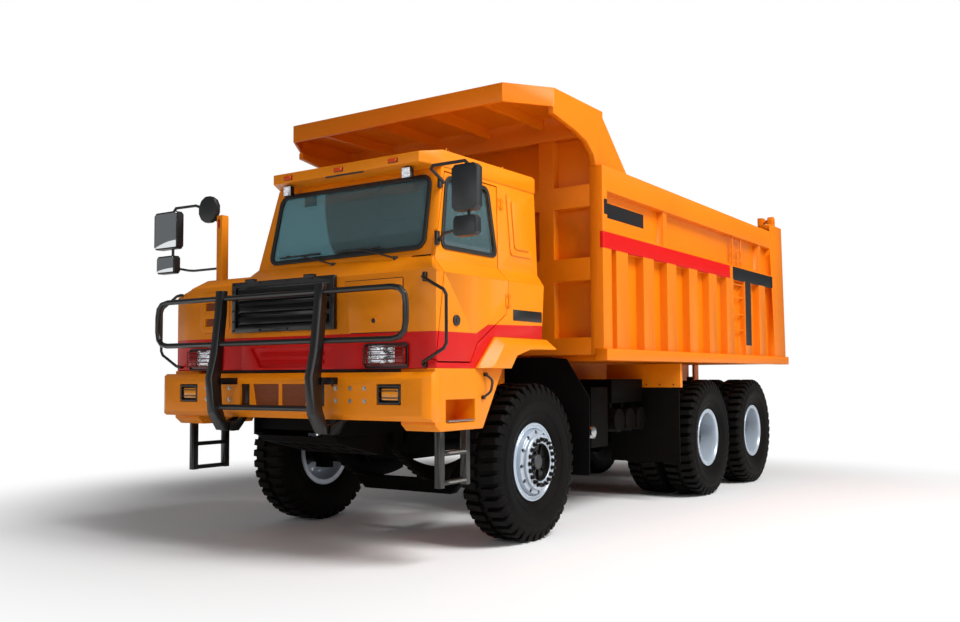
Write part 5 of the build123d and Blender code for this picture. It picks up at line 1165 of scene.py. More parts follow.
@dataclass
class WheelTrim:
    """Round tyres, rims, hubs and nuts of the six wheels.

    Attributes:
        twin_pitch: Distance between the middles of two twin tyres.
        half_width: Half the width of a tyre.
        nut_count: Nuts on one wheel.
        front_face: Face of a front wheel's nut ring, outboard of the tyre's middle.
        rear_face: The same of a rear wheel, inboard of the outer tyre's middle.
        edge: The rim's outer edge, as (distance from the tyre's middle, radius).
    """

    twin_pitch: float = 0.507
    half_width: float = 0.216
    nut_count: int = 20
    front_face: float = 0.2355
    rear_face: float = -0.2335
    edge: tuple[Pair, ...] = (
        (0.150, 0.325), (0.150, 0.366), (0.154, 0.370), (0.162, 0.370), (0.165, 0.366), (0.165, 0.353),
        (0.155, 0.348), (0.155, 0.339), (0.161, 0.336), (0.161, 0.323), (0.147, 0.317),
    )

    def front_rim(self) -> Shape:
        """Returns a front wheel's rim with its disc, hand holes and nut ring."""
        section = [
            *self.edge, (0.140, 0.312), (0.150, 0.307), (0.184, 0.303), (0.195, 0.297), (0.198, 0.270),
            (0.206, 0.265), (0.228, 0.262), (self.front_face, 0.254), (self.front_face, 0.184),
            (0.231, 0.1782), (0.148, 0.1782), (0.148, 0.192), (0.184, 0.198), (0.184, 0.290),
            (0.128, 0.301), (0.030, 0.309), (-0.158, 0.311), (-0.165, 0.317), (-0.165, 0.370),
            (-0.150, 0.370), (-0.150, 0.325),
        ]
        rim = Shape().turned(section, 0.0035)
        holes = Shape().rod((0, 0.16, 0.282), (0, 0.22, 0.282), 0.0195, sides=24).array(12, math.radians(4))
        return self._cut(rim, holes)

    def rear_rim(self) -> Shape:
        """Returns a pair of rear rims with their disc deep inside."""
        inner = self.twin_pitch
        section = [
            *self.edge, (0.112, 0.312), (-0.222, 0.307), (self.rear_face, 0.299), (self.rear_face, 0.158),
            (-0.265, 0.158), (-0.265, 0.309), (-inner - 0.158, 0.311), (-inner - 0.165, 0.317),
            (-inner - 0.165, 0.370), (-inner - 0.150, 0.370), (-inner - 0.150, 0.325),
            (-inner + 0.150, 0.325), (-inner + 0.150, 0.370), (-inner + 0.165, 0.370),
            (-inner + 0.165, 0.325), (-0.165, 0.325), (-0.165, 0.370), (-0.150, 0.370), (-0.150, 0.325),
        ]
        return Shape().turned(section, 0.0035)

    def _cut(self, body: Shape, cutter: Shape) -> Shape:
        """Returns one shape less another."""
        holders = []
        for name, shape in (("body", body), ("cutter", cutter)):
            bmesh.ops.recalc_face_normals(shape.mesh, faces=list(shape.mesh.faces))
            made = bpy.data.meshes.new(name)
            shape.mesh.to_mesh(made)
            shape.mesh.free()
            holder = bpy.data.objects.new(name, made)
            bpy.context.scene.collection.objects.link(holder)
            holders.append(holder)
        cut = holders[0].modifiers.new("cut", "BOOLEAN")
        cut.operation = "DIFFERENCE"
        cut.solver = "EXACT"
        cut.object = holders[1]
        bpy.context.view_layer.update()
        depsgraph = bpy.context.evaluated_depsgraph_get()
        made = bpy.data.meshes.new_from_object(holders[0].evaluated_get(depsgraph))
        result = Shape()
        result.mesh.from_mesh(made)
        bpy.data.meshes.remove(made)
        for holder in holders:
            used = holder.data
            bpy.data.objects.remove(holder)
            bpy.data.meshes.remove(used)
        return result

    def nuts(self, face: float, ring: float) -> Shape:
        """Returns the wheel nuts with their stud ends.

        Args:
            face: The face that carries them, outboard of the tyre's middle.
            ring: Radius of their circle.
        """
        nut = Shape().rod((0, face - 0.002, ring), (0, face + 0.004, ring), 0.023, sides=24)
        nut.rod((0, face + 0.003, ring), (0, face + 0.026, ring), 0.0195, sides=6, bevel=0.002)
        nut.rod((0, face + 0.024, ring), (0, face + 0.040, ring), 0.0115, sides=16, bevel=0.002)
        return nut.array(self.nut_count)

    def front_hub(self) -> Shape:
        """Returns the black hub in the well of a front wheel, with its ribs."""
        section = [
            (0.2330, 0.1778), (0.2330, 0.173), (0.178, 0.171), (0.175, 0.080), (0.175, 0.0765),
            (0.098, 0.0765), (0.098, 0.0556), (-0.045, 0.0556), (-0.045, 0.129), (0.100, 0.130),
            (0.146, 0.1778),
        ]
        hub = Shape().turned(section, 0.002, 64)
        rib = Shape().plate(
            [(-0.007, 0.174, 0.078), (-0.007, 0.206, 0.078), (-0.007, 0.190, 0.168), (-0.007, 0.174, 0.168)],
            (0.014, 0, 0), 0.002,
        )
        hub.put(rib.array(8, math.radians(12)), (0, 0, 0))
        return hub

    def front_cap(self) -> Shape:
        """Returns the dark cap of a front hub."""
        return Shape().turned(
            [(0.0985, 0.0), (0.214, 0.0), (0.214, 0.058), (0.207, 0.071), (0.178, 0.074), (0.0985, 0.074)],
            0.003, 64,
        )

    def rear_hub(self) -> Shape:
        """Returns the black hub that stands in the dish of a rear wheel."""
        section = [
            (0.020, 0.0), (0.020, 0.112), (0.010, 0.127), (-0.034, 0.1485), (-0.222, 0.150),
            (-0.232, 0.1575), (-0.266, 0.1575), (-0.266, 0.150), (-0.645, 0.150), (-0.650, 0.145),
            (-0.650, 0.0556), (0.005, 0.0556), (0.005, 0.0),
        ]
        hub = Shape().turned(section, 0.003, 64)
        bolt = Shape().rod((0, 0.016, 0.088), (0, 0.030, 0.088), 0.009, sides=6, bevel=0.001)
        hub.put(bolt.array(12), (0, 0, 0))
        return hub

    def build(self, palette: Palette) -> None:
        """Puts every wheel in place of its many-sided solid.

        Args:
            palette: The finishes.
        """
        tyre = TyreForm().build()
        front = (
            ("rim", self.front_rim(), "wheel_silver", "bare_steel"),
            ("hub", self.front_hub(), "black_enamel", "black_paint"),
            ("cap", self.front_cap(), "hub_grey", "black_paint"),
            ("nuts", self.nuts(self.front_face, 0.214), "nut_black", "black_paint"),
        )
        rear = (
            ("rim", self.rear_rim(), "wheel_silver", "bare_steel"),
            ("hub", self.rear_hub(), "black_enamel", "black_paint"),
            ("nuts", self.nuts(self.rear_face, 0.200), "nut_black", "black_paint"),
        )
        for end in ("front", "mid", "rear"):
            for flank in ("left", "right"):
                name = f"{end}_{flank}"
                low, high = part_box(f"tyre_{name}")
                side = 1 if flank == "left" else -1
                outer = side * (max(abs(low.y), abs(high.y)) - self.half_width)
                place = ((low.x + high.x) / 2, outer, (low.z + high.z) / 2)
                rubber = Shape().put(tyre, place, side)
                if end != "front":
                    rubber.put(tyre, (place[0], outer - side * self.twin_pitch, place[2]), side)
                body = f"axle_end_{name}"
                round_tyre = rubber.finish(f"round_tyre_{name}", palette["tyre_rubber"], body, "tyre")
                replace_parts(round_tyre, f"tyre_{name}")
                for part, shape, finish, slot in front if end == "front" else rear:
                    copied = Shape().put(shape, place, side)
                    piece = copied.finish(f"wheel_{part}_{name}", palette[finish], body, slot)
                    if part == "rim":
                        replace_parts(piece, f"wheel_{name}")


@dataclass
class CabTrim:
    """Seals, wipers and fittings of the cab.

    Attributes:
        seal_width: Width of the rubber round the windscreen.
        wall: The front wall's face at its foot, ahead of the front axle.
        wall_foot: Height at which the front wall starts to lean back.
        wall_lean: How far it leans back for each metre of height.
    """

    seal_width: float = 0.042
    wall: float = SCREEN_WALL
    wall_foot: float = 2.58
    wall_lean: float = 0.125 / 0.76

    def _screen_corners(self) -> list[Point]:
        """Returns the corners of the windscreen's opening, seen from the front."""
        # Corner: y, z
        table = ((-0.487, 2.608), (1.367, 2.628), (1.367, 3.287), (-0.432, 3.287))
        return [(self.wall_x(z) - 0.001, y, z) for y, z in table]

    def wall_x(self, z: float) -> float:
        """Returns the front wall's face at a height, in the frame."""
        return ahead(self.wall - self.wall_lean * (z - self.wall_foot))

    def seals(self, palette: Palette) -> None:
        """Adds the rubber round the windows and closes the wall beside the windscreen."""
        Shape().seal(self._screen_corners(), self.seal_width, 0.014, 0.10, (1, 0, 0)).finish(
            "windscreen_seal", palette["seal_rubber"])
        y_at_foot, y_at_head = 1.4770, 1.4530
        corners = [
            (ahead(1.458), y_at_foot, 2.634), (ahead(0.586), y_at_foot, 2.634),
            (ahead(0.694), y_at_head, 3.276), (ahead(1.350), y_at_head, 3.276),
        ]
        Shape().seal(corners, 0.036, 0.013, 0.08, (0, 1, 0)).finish(
            "door_window_seal", palette["seal_rubber"], "door")
        outline = (
            (1.226, 2.582), (1.429, 2.582), (1.429, 2.990), (1.356, 2.990), (1.356, 2.730), (1.330, 2.672),
            (1.268, 2.644), (1.226, 2.640),
        )
        Shape().plate([(self.wall_x(z) - 0.001, y, z) for y, z in outline], (-0.032, 0, 0), 0.001).finish(
            "cab_corner_fill", palette["orange_enamel"])

    def wipers(self, palette: Palette) -> None:
        """Adds two wipers that pivot below the windscreen."""
        shape = Shape()
        # Wiper: pivot y, pivot z, blade's right end, left end (y, z)
        table = (
            (0.352, 2.567, (-0.324, 2.672), (0.182, 2.681)),
            (1.065, 2.572, (0.375, 2.675), (0.879, 2.684)),
        )
        base = ahead(self.wall + 0.005)
        face = ahead(self.wall + 0.01)
        for pivot_y, pivot_z, right_end, left_end in table:
            back = (base - 0.02, pivot_y, pivot_z)
            shape.rod(back, (base + 0.035, pivot_y, pivot_z), 0.018, sides=16, bevel=0.003)
            y = (right_end[0] + left_end[0]) / 2
            z = (right_end[1] + left_end[1]) / 2
            elbow = (face + 0.022, (pivot_y + y) / 2, (pivot_z + z) / 2 + 0.01)
            shape.tube([(base + 0.028, pivot_y, pivot_z), elbow, (face + 0.008, y, z)], 0.007, 0.03)
            shape.rod((face, *right_end), (face, *left_end), 0.008, sides=8)
            shape.box((face - 0.014, face - 0.002), (right_end[0], left_end[0]), (z - 0.006, z + 0.002))
            for share in (0.2, 0.8):
                clip = right_end[0] + (left_end[0] - right_end[0]) * share
                across = (clip - 0.02, clip + 0.02)
                shape.box((face - 0.006, face + 0.012), across, (z - 0.008, z + 0.012), 0.003)
        shape.finish("wipers", palette["moulded_black"])

    def roof_fittings(self, palette: Palette) -> None:
        """Adds the grab bar over the windscreen."""
        bar_x = ahead(1.60)
        shape = Shape()
        shape.tube([
            (bar_x - 0.02, 0.32, 3.36), (bar_x + 0.012, 0.32, 3.345),
            (bar_x + 0.012, 0.75, 3.345), (bar_x - 0.02, 0.75, 3.36),
        ], 0.009, 0.015)
        shape.finish("visor_bar", palette["black_enamel"])

    def hinges(self, palette: Palette) -> None:
        """Adds the door's hinges, lock and bare name plate."""
        shape = Shape()
        # Hinge: x, y of its wall, z low and high
        for x, y, low, high in ((0.492, 1.458, 3.10, 3.20), (0.592, 1.602, 2.18, 2.30)):
            for offset in (-0.042, 0.010):
                leaf = (ahead(x + offset), ahead(x + offset + 0.034))
                shape.box(leaf, (y - 0.004, y + 0.006), (low, high), 0.002)
                for bolt_z in (low + 0.02, high - 0.02):
                    spot = ahead(x + offset + 0.017)
                    shape.rod((spot, y + 0.004, bolt_z), (spot, y + 0.014, bolt_z), 0.008, sides=6)
            shape.rod((ahead(x), y + 0.008, low), (ahead(x), y + 0.008, high), 0.011, sides=12)
        shape.finish("door_hinges", palette["orange_enamel"])
        lock = Shape()
        x, y, z = ahead(1.405), 1.6, 2.027
        lock.rod((x, y - 0.002, z), (x, y + 0.016, z), 0.046, sides=32, bevel=0.005)
        lock.rod((x, y + 0.01, z), (x, y + 0.024, z), 0.022, sides=24, bevel=0.003)
        lock.finish("door_lock", palette["moulded_black"], "door")
        plate = Shape()
        plate.box((ahead(0.0), ahead(0.51)), (1.6, 1.604), (2.067, 2.167), 0.001)
        plate.finish("side_plate", palette["plate_black"])

    def build(self, palette: Palette) -> None:
        """Adds all the cab's trim."""
        self.seals(palette)
        self.wipers(palette)
        self.roof_fittings(palette)
        self.hinges(palette)


@dataclass
class Seats:
    """Two padded seats on their bases.

    Attributes:
        middles: The middle y of each seat.
        pan: The cushion's rear and front edge, from the front axle.
        back_foot: The back's rear and front face at its foot.
        back_head: The same at its head.
    """

    middles: Pair = (0.98, 0.06)
    pan: Pair = (0.23, 0.74)
    back_foot: Pair = (0.125, 0.225)
    back_head: Pair = (0.03, 0.12)

    def _pad(self, corners: Sequence[Point], swell: Sequence[float]) -> Shape:
        """Returns a pad between eight corners with a swollen face and raised sides.

        Args:
            corners: Four corners of the rear or lower face, then the four that face them.
            swell: How far the middle and the sides of the second face rise.
        """
        shape = Shape()
        verts = [shape.mesh.verts.new(c) for c in corners]
        for face in ((0, 3, 2, 1), (4, 5, 6, 7), (0, 1, 5, 4), (1, 2, 6, 5), (2, 3, 7, 6), (3, 0, 4, 7)):
            shape.mesh.faces.new([verts[number] for number in face])
        bmesh.ops.subdivide_edges(shape.mesh, edges=list(shape.mesh.edges), cuts=5, use_grid_fill=True)
        low = [Vector(c) for c in corners[:4]]
        high = [Vector(c) for c in corners[4:]]
        middle = sum(high, Vector()) / 4
        out = (middle - sum(low, Vector()) / 4).normalized()
        across = (high[1] - high[0])
        along = (high[3] - high[0])
        for vert in shape.mesh.verts:
            level = (vert.co - middle).dot(out)
            if level < -0.002:
                continue
            u = abs((vert.co - middle).dot(across.normalized()) / (across.length / 2))
            v = abs((vert.co - middle).dot(along.normalized()) / (along.length / 2))
            rise = swell[0] * (1 - min(u, 1) ** 2) * (1 - min(v, 1) ** 2)
            rise += swell[1] * math.exp(-(((u - 0.78) / 0.16) ** 2)) * (1 - min(v, 1) ** 4)
            vert.co += out * (rise - 0.012)
        return shape

    def build(self, palette: Palette) -> None:
        """Adds both seats in place of their plain blocks."""
        for name, y in zip(("driver", "mate"), self.middles):
            rear, front = (ahead(x) for x in self.pan)
            cushion = self._pad(
                [
                    (rear, y - 0.236, 2.262), (rear, y + 0.236, 2.262), (front, y + 0.236, 2.262),
                    (front, y - 0.236, 2.262), (rear, y - 0.236, 2.372), (rear, y + 0.236, 2.372),
                    (front, y + 0.236, 2.372), (front, y - 0.236, 2.372),
                ],
                (0.012, 0.026),
            )
            foot = [ahead(x) for x in self.back_foot]
            head = [ahead(x) for x in self.back_head]
            back = self._pad(
                [
                    (foot[0], y - 0.226, 2.36), (foot[0], y + 0.226, 2.36), (head[0], y + 0.200, 2.86),
                    (head[0], y - 0.200, 2.86), (foot[1], y - 0.226, 2.36), (foot[1], y + 0.226, 2.36),
                    (head[1], y + 0.200, 2.86), (head[1], y - 0.200, 2.86),
                ],
                (0.012, 0.028),
            )
            rest = self._pad(
                [
                    (head[0] - 0.004, y - 0.12, 2.875), (head[0] - 0.004, y + 0.12, 2.875),
                    (head[0] - 0.018, y + 0.11, 3.01), (head[0] - 0.018, y - 0.11, 3.01),
                    (head[1] - 0.01, y - 0.12, 2.875), (head[1] - 0.01, y + 0.12, 2.875),
                    (head[1] - 0.026, y + 0.11, 3.01), (head[1] - 0.026, y - 0.11, 3.01),
                ],
                (0.01, 0.0),
            )
            for part, shape in (("cushion", cushion), ("backrest", back), ("headrest", rest)):
                piece = shape.finish(f"{name}_seat_{part}", palette["seat_weave"], "root", "seat_fabric")
                soften = piece.modifiers.new("soften", "SUBSURF")
                soften.levels = 2
                soften.render_levels = 2
                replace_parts(piece, "cab_seats")
            base = Shape()
            base.box((ahead(0.30), ahead(0.62)), (y - 0.17, y + 0.17), (1.952, 2.20), 0.012)
            base.box((ahead(0.24), ahead(0.73)), (y - 0.22, y + 0.22), (2.20, 2.258), 0.014)
            base.box((ahead(0.105), ahead(0.128)), (y - 0.16, y + 0.16), (2.30, 2.78), 0.008)
            for post in (-0.06, 0.06):
                base.rod((ahead(0.07), y + post, 2.84), (ahead(0.062), y + post, 2.90), 0.008)
            stand = base.finish(f"{name}_seat_base", palette["dash_plastic"], "root", "cab_plastic")
            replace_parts(stand, "cab_seats")


@dataclass
class NoseTrim:
    """Mesh, bolts and plates of the grille, vents and bumper.

    Attributes:
        nose: The nose's face, ahead of the front axle.
        bumper: The bumper's face, ahead of the front axle.
    """

    nose: float = NOSE_FACE
    bumper: float = BUMPER_FACE

    def wires(self, shape: Shape, x: float, y: Pair, z: Pair, pitch: float, wire: float) -> None:
        """Adds a wire mesh on a plane across the truck.

        Args:
            shape: The shape that takes it.
            x: The plane.
            y: Its right and left edge.
            z: Its low and high edge.
            pitch: Distance between wires.
            wire: Half the width of a wire.
        """
        for number in range(int((z[1] - z[0]) / pitch) + 1):
            level = z[0] + number * pitch
            shape.box((x - wire, x + wire), y, (level - wire, level + wire))
        for number in range(int((y[1] - y[0]) / pitch) + 1):
            across = y[0] + number * pitch
            shape.box((x - wire * 0.6, x + wire * 0.6), (across - wire, across + wire), z)

    def grille(self, palette: Palette) -> None:
        """Adds the mesh of the grille and the vents, and the bolts of the grille's frame."""
        mesh = Shape()
        x = ahead(self.nose + 0.016)
        for number in range(3):
            low = 2.03 + number * 0.13
            self.wires(mesh, x, (-0.67, 0.505), (low, low + 0.09), 0.014, 0.0022)
        mesh.finish("grille_mesh", palette["mesh_black"])
        vents = Shape()
        behind = ahead(self.nose - 0.002)
        for low in (2.050, 2.200):
            self.wires(vents, behind, (-1.115, -0.855), (low + 0.004, low + 0.070), 0.012, 0.0026)
        vents.finish("vent_mesh", palette["mesh_bronze"], "root", "black_paint")
        bolts = Shape()
        face = ahead(self.nose + 0.04)
        level_rows = [(y, z) for y in (-0.7, -0.35, 0.0, 0.3, 0.535) for z in (1.995, 2.428)]
        upright_rows = [(y, z) for y in (-0.705, 0.541) for z in (2.08, 2.18, 2.28, 2.36)]
        for y, z in level_rows + upright_rows:
            bolts.rod((face - 0.002, y, z), (face + 0.007, y, z), 0.009, sides=6)
        bolts.finish("grille_bolts", palette["bolt_steel"])

    def bumper_trim(self, palette: Palette) -> None:
        """Adds the bumper's mesh panels, bolts, upper lip and slot plates."""
        mesh = Shape()
        x = ahead(self.bumper - 0.008)
        for side in SIDES:
            span = sorted((side * 0.024, side * 0.342))
            self.wires(mesh, x, (span[0], span[1]), (1.312, 1.502), 0.012, 0.0026)
        mesh.finish("bumper_mesh", palette["mesh_bronze"])
        bolts = Shape()
        face = ahead(self.bumper)
        for side in SIDES:
            for y in (0.66, 0.82, 0.977):
                for z in (1.361, 1.466):
                    bolts.rod((face - 0.002, side * y, z), (face + 0.012, side * y, z), 0.013, sides=6)
                    bolts.rod((face - 0.002, side * y, z), (face + 0.003, side * y, z), 0.02, sides=16)
        bolts.finish("bumper_bolts", palette["zinc_bolt"])
        lip = Shape().box((ahead(1.600), ahead(1.620)), (-1.290, 1.290), (1.596, 1.634), 0.002)
        lip.finish("bumper_lip", palette["moulded_black"], "root", "black_paint")
        plates = Shape()
        for side in SIDES:
            span = sorted((side * 0.392, side * 0.527))
            plates.box((face - 0.039, face - 0.034), (span[0], span[1]), (1.314, 1.503), 0.001)
        plates.finish("bumper_slot_plates", palette["plate_black"], "root", "black_paint")

    def build(self, palette: Palette) -> None:
        """Adds all the nose's trim."""
        self.grille(palette)
        self.bumper_trim(palette)


@dataclass
class Lamps:
    """Headlamps, bumper lamps, roof markers and work lamps, in place of their plain solids.

    Attributes:
        nose: The nose's face, ahead of the front axle.
        bumper: The bumper's face, ahead of the front axle.
        visor: The visor's face, ahead of the front axle.
        wall: The windscreen wall's face at its foot, ahead of the front axle.
    """

    nose: float = NOSE_FACE
    bumper: float = BUMPER_FACE
    visor: float = 1.62
    wall: float = SCREEN_WALL

    @staticmethod
    def outline(x: float, y: Pair, z: Pair) -> list[Point]:
        """Returns the corners of an upright rectangle across the truck."""
        return [(x, y[0], z[0]), (x, y[1], z[0]), (x, y[1], z[1]), (x, y[0], z[1])]

    def hang(self, palette: Palette, pieces: Sequence[tuple[Shape, str, str, str]]) -> None:
        """Finishes pieces in place of the plain lamps.

        Args:
            palette: The finishes.
            pieces: Shape, name, finish and slot of each.
        """
        for shape, name, finish, slot in pieces:
            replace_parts(shape.finish(name, palette[finish], "root", slot), "lamps")

    def headlamps(self, palette: Palette) -> None:
        """Adds the two headlamps with their red surrounds and guard bars."""
        face = ahead(self.nose)
        pans, rims, chrome, clear, red, bars = (Shape() for _ in range(6))
        pans.box((face + 0.0005, face + 0.010), (0.888, 1.349), (1.636, 1.836), 0.004)
        rims.seal(
            self.outline(face + 0.0095, (0.884, 1.353), (1.632, 1.840)),
            0.012, 0.010, 0.026, (1, 0, 0), 0.003,
        )
        chrome.box((face + 0.010, face + 0.013), (0.952, 1.208), (1.672, 1.816), 0.001)
        for z in (1.708, 1.780):
            for y in (1.014, 1.146):
                chrome.ball((face + 0.012, y, z), 0.058, (0.30, 1.05, 0.56))
        clear.box((face + 0.031, face + 0.036), (0.946, 1.214), (1.668, 1.820), 0.002)
        for y in (0.946, 1.209):
            clear.box((face + 0.010, face + 0.031), (y, y + 0.005), (1.668, 1.820))
        red.box((face + 0.0105, face + 0.034), (1.228, 1.332), (1.664, 1.806), 0.006)
        red.box((face + 0.0105, face + 0.026), (0.902, 0.936), (1.664, 1.806), 0.006)
        for y in (0.9045, 1.3325):
            for z in (1.668, 1.805):
                bars.rod((face + 0.009, y, z), (face + 0.054, y, z), 0.0045, sides=10)
            bars.rod((face + 0.054, y, 1.655), (face + 0.054, y, 1.817), 0.0045, sides=10)
        for z in (1.672, 1.708, 1.744, 1.780, 1.808):
            bars.rod((face + 0.054, 0.900, z), (face + 0.054, 1.337, z), 0.004, sides=10)
        self.hang(palette, (
            (pans.mirrored(), "headlamp_pans", "guard_red", "black_paint"),
            (rims.mirrored(), "headlamp_rims", "black_enamel", "black_paint"),
            (chrome.mirrored(), "headlamp_reflectors", "reflector_chrome", "bare_steel"),
            (clear.mirrored(), "headlamp_glass", "lamp_clear", "lamp_lens"),
            (red.mirrored(), "headlamp_side_lenses", "lamp_red", "lamp_lens"),
            (bars.mirrored(), "headlamp_guards", "guard_red", "black_paint"),
        ))

    def bumper_lamps(self, palette: Palette) -> None:
        """Adds the amber lamps in the bumper with their frames and bars."""
        face = ahead(self.bumper)
        frames, amber, bars = Shape(), Shape(), Shape()
        frames.box((face - 0.0595, face - 0.040), (1.112, 1.354), (1.340, 1.496), 0.002)
        frames.seal(
            self.outline(face - 0.041, (1.110, 1.356), (1.338, 1.498)),
            0.020, 0.040, 0.030, (1, 0, 0), 0.004,
        )
        amber.box((face - 0.040, face - 0.012), (1.146, 1.320), (1.370, 1.466), 0.008)
        for z in (1.3895, 1.4475):
            bars.rod((face - 0.006, 1.106, z), (face - 0.006, 1.360, z), 0.004, sides=10)
        self.hang(palette, (
            (frames.mirrored(), "bumper_lamp_frames", "black_enamel", "black_paint"),
            (amber.mirrored(), "bumper_lamp_lenses", "amber_lens", "lamp_lens"),
            (bars.mirrored(), "bumper_lamp_bars", "black_enamel", "black_paint"),
        ))

    def roof_lamps(self, palette: Palette) -> None:
        """Adds the orange markers on the visor and the work lamps beside the windscreen."""
        visor = ahead(self.visor)
        markers, bodies, chrome, clear = Shape(), Shape(), Shape(), Shape()
        for y in (-0.135, 0.485, 1.105):
            bodies.box((visor + 0.0003, visor + 0.006), (y - 0.052, y + 0.052), (3.373, 3.412), 0.002)
            markers.box((visor + 0.006, visor + 0.022), (y - 0.046, y + 0.046), (3.377, 3.408), 0.005)
        work = ahead(self.wall)
        for y in (-0.201, 1.204):
            bodies.box((work, work + 0.050), (y - 0.048, y + 0.048), (3.240, 3.334), 0.008)
            bodies.box((work + 0.020, work + 0.040), (y - 0.012, y + 0.012), (3.330, 3.346))
            chrome.box((work + 0.050, work + 0.053), (y - 0.042, y + 0.042), (3.246, 3.328), 0.001)
            for z in (3.266, 3.308):
                chrome.ball((work + 0.052, y, z), 0.030, (0.18, 1.1, 0.6))
            clear.box((work + 0.057, work + 0.060), (y - 0.044, y + 0.044), (3.244, 3.330), 0.001)
        self.hang(palette, (
            (markers, "roof_markers", "lamp_marker", "lamp_lens"),
            (bodies, "roof_lamp_bodies", "black_enamel", "black_paint"),
            (chrome, "work_lamp_reflectors", "reflector_chrome", "bare_steel"),
            (clear, "work_lamp_glass", "lamp_clear", "lamp_lens"),
        ))

    def build(self, palette: Palette) -> None:
        """Adds all the lamps."""
        self.headlamps(palette)
        self.bumper_lamps(palette)
        self.roof_lamps(palette)


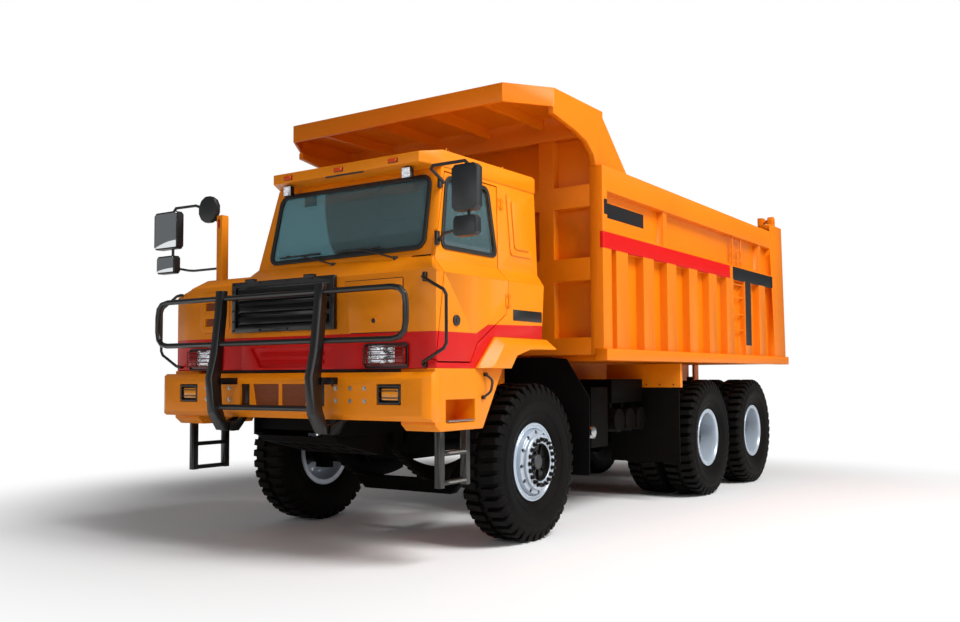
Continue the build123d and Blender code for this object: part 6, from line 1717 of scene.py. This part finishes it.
@dataclass
class Fittings:
    """Small fittings round the truck, from the flap plates to the tailpipe's sleeve.

    Attributes:
        nose: The nose's face, ahead of the front axle.
        flap: The same for the middle flaps' face, so it is negative.
        pipe: The same for the tailpipe's middle.
        rib_pitch: Distance between the ribs of a tread.
    """

    nose: float = NOSE_FACE
    flap: float = -3.16
    pipe: float = -1.26
    rib_pitch: float = 0.03

    def flap_plates(self, palette: Palette) -> None:
        """Adds the orange plates over the middle flaps, with their bolts."""
        x = ahead(self.flap)
        plates, bolts = Shape(), Shape()
        plates.box((x + 0.0004, x + 0.006), (0.715, 1.705), (1.412, 1.702), 0.001)
        plates.box((x - 0.066, x + 0.006), (1.7004, 1.706), (1.412, 1.702), 0.001)
        for y in (0.90, 1.08, 1.26, 1.44, 1.62):
            bolts.rod((x + 0.005, y, 1.446), (x + 0.014, y, 1.446), 0.010, sides=6)
        plates.mirrored().finish("flap_plates", palette["orange_enamel"], "root", "orange_paint")
        bolts.mirrored().finish("flap_plate_bolts", palette["bolt_steel"], "root", "bare_steel")

    def treads(self, palette: Palette) -> None:
        """Adds ribbed metal treads to the left step pocket and ladder rungs."""
        treads = Shape()
        # Tread: x rear and front, y right and left, top
        table = (
            (1.150, 1.530, 1.545, 1.612, 1.190), (1.300, 1.540, 1.500, 1.632, 0.938),
            (1.300, 1.540, 1.500, 1.632, 0.700),
        )
        for rear, front, right, left, top in table:
            treads.box((ahead(rear), ahead(front)), (right, left), (top + 0.0005, top + 0.006), 0.001)
            rib_y, rib_z = (right + 0.006, left - 0.006), (top + 0.005, top + 0.012)
            for number in range(int((front - rear) / self.rib_pitch)):
                x = ahead(rear + self.rib_pitch / 2 + number * self.rib_pitch)
                treads.box((x - 0.007, x + 0.007), rib_y, rib_z, 0.002)
        treads.finish("step_treads", palette["galvanised"], "root", "bare_steel")

    def straps(self, palette: Palette) -> None:
        """Adds the black strap handles behind the step pockets."""
        straps, ends = Shape(), Shape()
        points = [
            (ahead(0.985), 1.620, 1.575), (ahead(0.955), 1.668, 1.530),
            (ahead(0.985), 1.668, 1.430), (ahead(1.020), 1.620, 1.385),
        ]
        straps.tube(points, 0.011, 0.03)
        for x, z in ((0.985, 1.578), (1.020, 1.382)):
            ends.rod((ahead(x), 1.600, z), (ahead(x), 1.628, z), 0.018, sides=16, bevel=0.003)
        straps.mirrored().finish("strap_handles", palette["moulded_black"], "root", "black_paint")
        ends.mirrored().finish("strap_ends", palette["black_enamel"], "root", "black_paint")

    def hatch(self, palette: Palette) -> None:
        """Adds the dark seam round the nose's lid and the lock in it."""
        face = ahead(self.nose)
        seam, lock = Shape(), Shape()
        outline = ((0.655, 2.382), (0.718, 1.929), (1.297, 1.929), (1.297, 2.382))
        corners = [(face + 0.0002, y, z) for y, z in outline]
        seam.seal(corners, 0.0062, 0.004, 0.012, (1, 0, 0), 0.0005)
        lock.rod((face + 0.016, 0.993, 2.032), (face + 0.026, 0.993, 2.032), 0.022, sides=24, bevel=0.002)
        lock.box((face + 0.025, face + 0.030), (0.987, 0.999), (2.018, 2.046), 0.002)
        seam.finish("hatch_seam", palette["seal_rubber"])
        lock.finish("hatch_lock", palette["bolt_steel"])

    def brackets(self, palette: Palette) -> None:
        """Adds the black feet of the mirror arms and handrail, and the post's reflector."""
        feet = Shape()
        # Foot: x, y, z low and high
        for x, y, low, high in (
            (1.492, 1.470, 2.655, 2.775), (1.424, 1.452, 3.150, 3.240), (1.698, 1.500, 2.335, 2.412),
            (1.698, 1.500, 1.635, 1.700),
        ):
            feet.box((ahead(x - 0.014), ahead(x + 0.024)), (y - 0.010, y + 0.022), (low, high), 0.004)
            for z in (low + 0.014, high - 0.014):
                feet.rod((ahead(x + 0.02), y + 0.006, z), (ahead(x + 0.030), y + 0.006, z), 0.007, sides=6)
        feet.finish("handle_feet", palette["black_enamel"])
        reflector = Shape()
        reflector.box((ahead(1.5604), ahead(1.564)), (-1.158, -1.132), (3.030, 3.120), 0.001)
        reflector.finish("post_reflector", palette["lamp_red"], "root", "lamp_lens")

    def cab_inside(self, palette: Palette) -> None:
        """Adds the sun visors and the grab bar inside the windscreen."""
        visors, bar = Shape(), Shape()
        for y in (-0.109, 1.200):
            visors.box((ahead(1.335), ahead(1.355)), (y - 0.075, y + 0.075), (3.150, 3.262), 0.008)
            visors.rod((ahead(1.345), y, 3.255), (ahead(1.345), y, 3.325), 0.008)
        bar.tube(
            [
                (ahead(1.33), 0.435, 3.335), (ahead(1.37), 0.435, 3.215),
                (ahead(1.37), 0.783, 3.215), (ahead(1.33), 0.783, 3.335),
            ],
            0.010, 0.03,
        )
        visors.finish("inner_visors", palette["moulded_black"], "root", "cab_plastic")
        bar.finish("inner_grab_bar", palette["moulded_black"], "root", "cab_plastic")

    def tailpipe(self, palette: Palette) -> None:
        """Adds the bright sleeve round the end of the exhaust pipe."""
        x = ahead(self.pipe)
        sleeve = Shape().rod((x, 1.405, 0.960), (x, 1.500, 0.960), 0.0635, sides=40, bevel=0.003)
        sleeve.finish("tailpipe_sleeve", palette["turned_steel"], "root", "bare_steel")

    def build(self, palette: Palette) -> None:
        """Adds all the fittings."""
        self.tailpipe(palette)
        self.flap_plates(palette)
        self.treads(palette)
        self.straps(palette)
        self.hatch(palette)
        self.brackets(palette)
        self.cab_inside(palette)


@dataclass
class MirrorGlass:
    """Glass faces of the mirrors.

    Attributes:
        right: Where the right mirrors stand, ahead of the front axle.
        left: The same for the left mirrors.
    """

    right: float = 1.6
    left: float = 1.7

    def build(self, palette: Palette) -> None:
        """Adds a pane to each mirror head."""
        panes = Shape()
        right = ahead(self.right)
        # Pane: y low, y high, z low, z high
        for y_low, y_high, low, high in ((-2.025, -1.695, 2.885, 3.235), (-1.985, -1.735, 2.635, 2.785)):
            panes.box((right + 0.038, right + 0.043), (y_low, y_high), (low, high), 0.002)
        panes.finish("right_mirror_panes", palette["mirror_silver"])
        left = Shape()
        rear = ahead(self.left)
        for y_low, y_high, low, high in ((1.815, 2.025, 2.885, 3.225), (1.825, 2.015, 2.685, 2.815)):
            left.box((rear - 0.043, rear - 0.038), (y_low, y_high), (low, high), 0.002)
        left.finish("left_mirror_panes", palette["mirror_silver"])


def main() -> None:
    """Builds the truck's looks in order and reports each piece."""
    logging.basicConfig(level=logging.INFO, format="%(name)s %(message)s")
    effects = EffectGroups()
    palette = Palette(effects)
    FrameFinishes(palette).dress()
    Studio().build()
    WheelTrim().build(palette)
    CabTrim().build(palette)
    Seats().build(palette)
    NoseTrim().build(palette)
    Lamps().build(palette)
    Fittings().build(palette)
    MirrorGlass().build(palette)


if __name__ == "__main__":
    main()
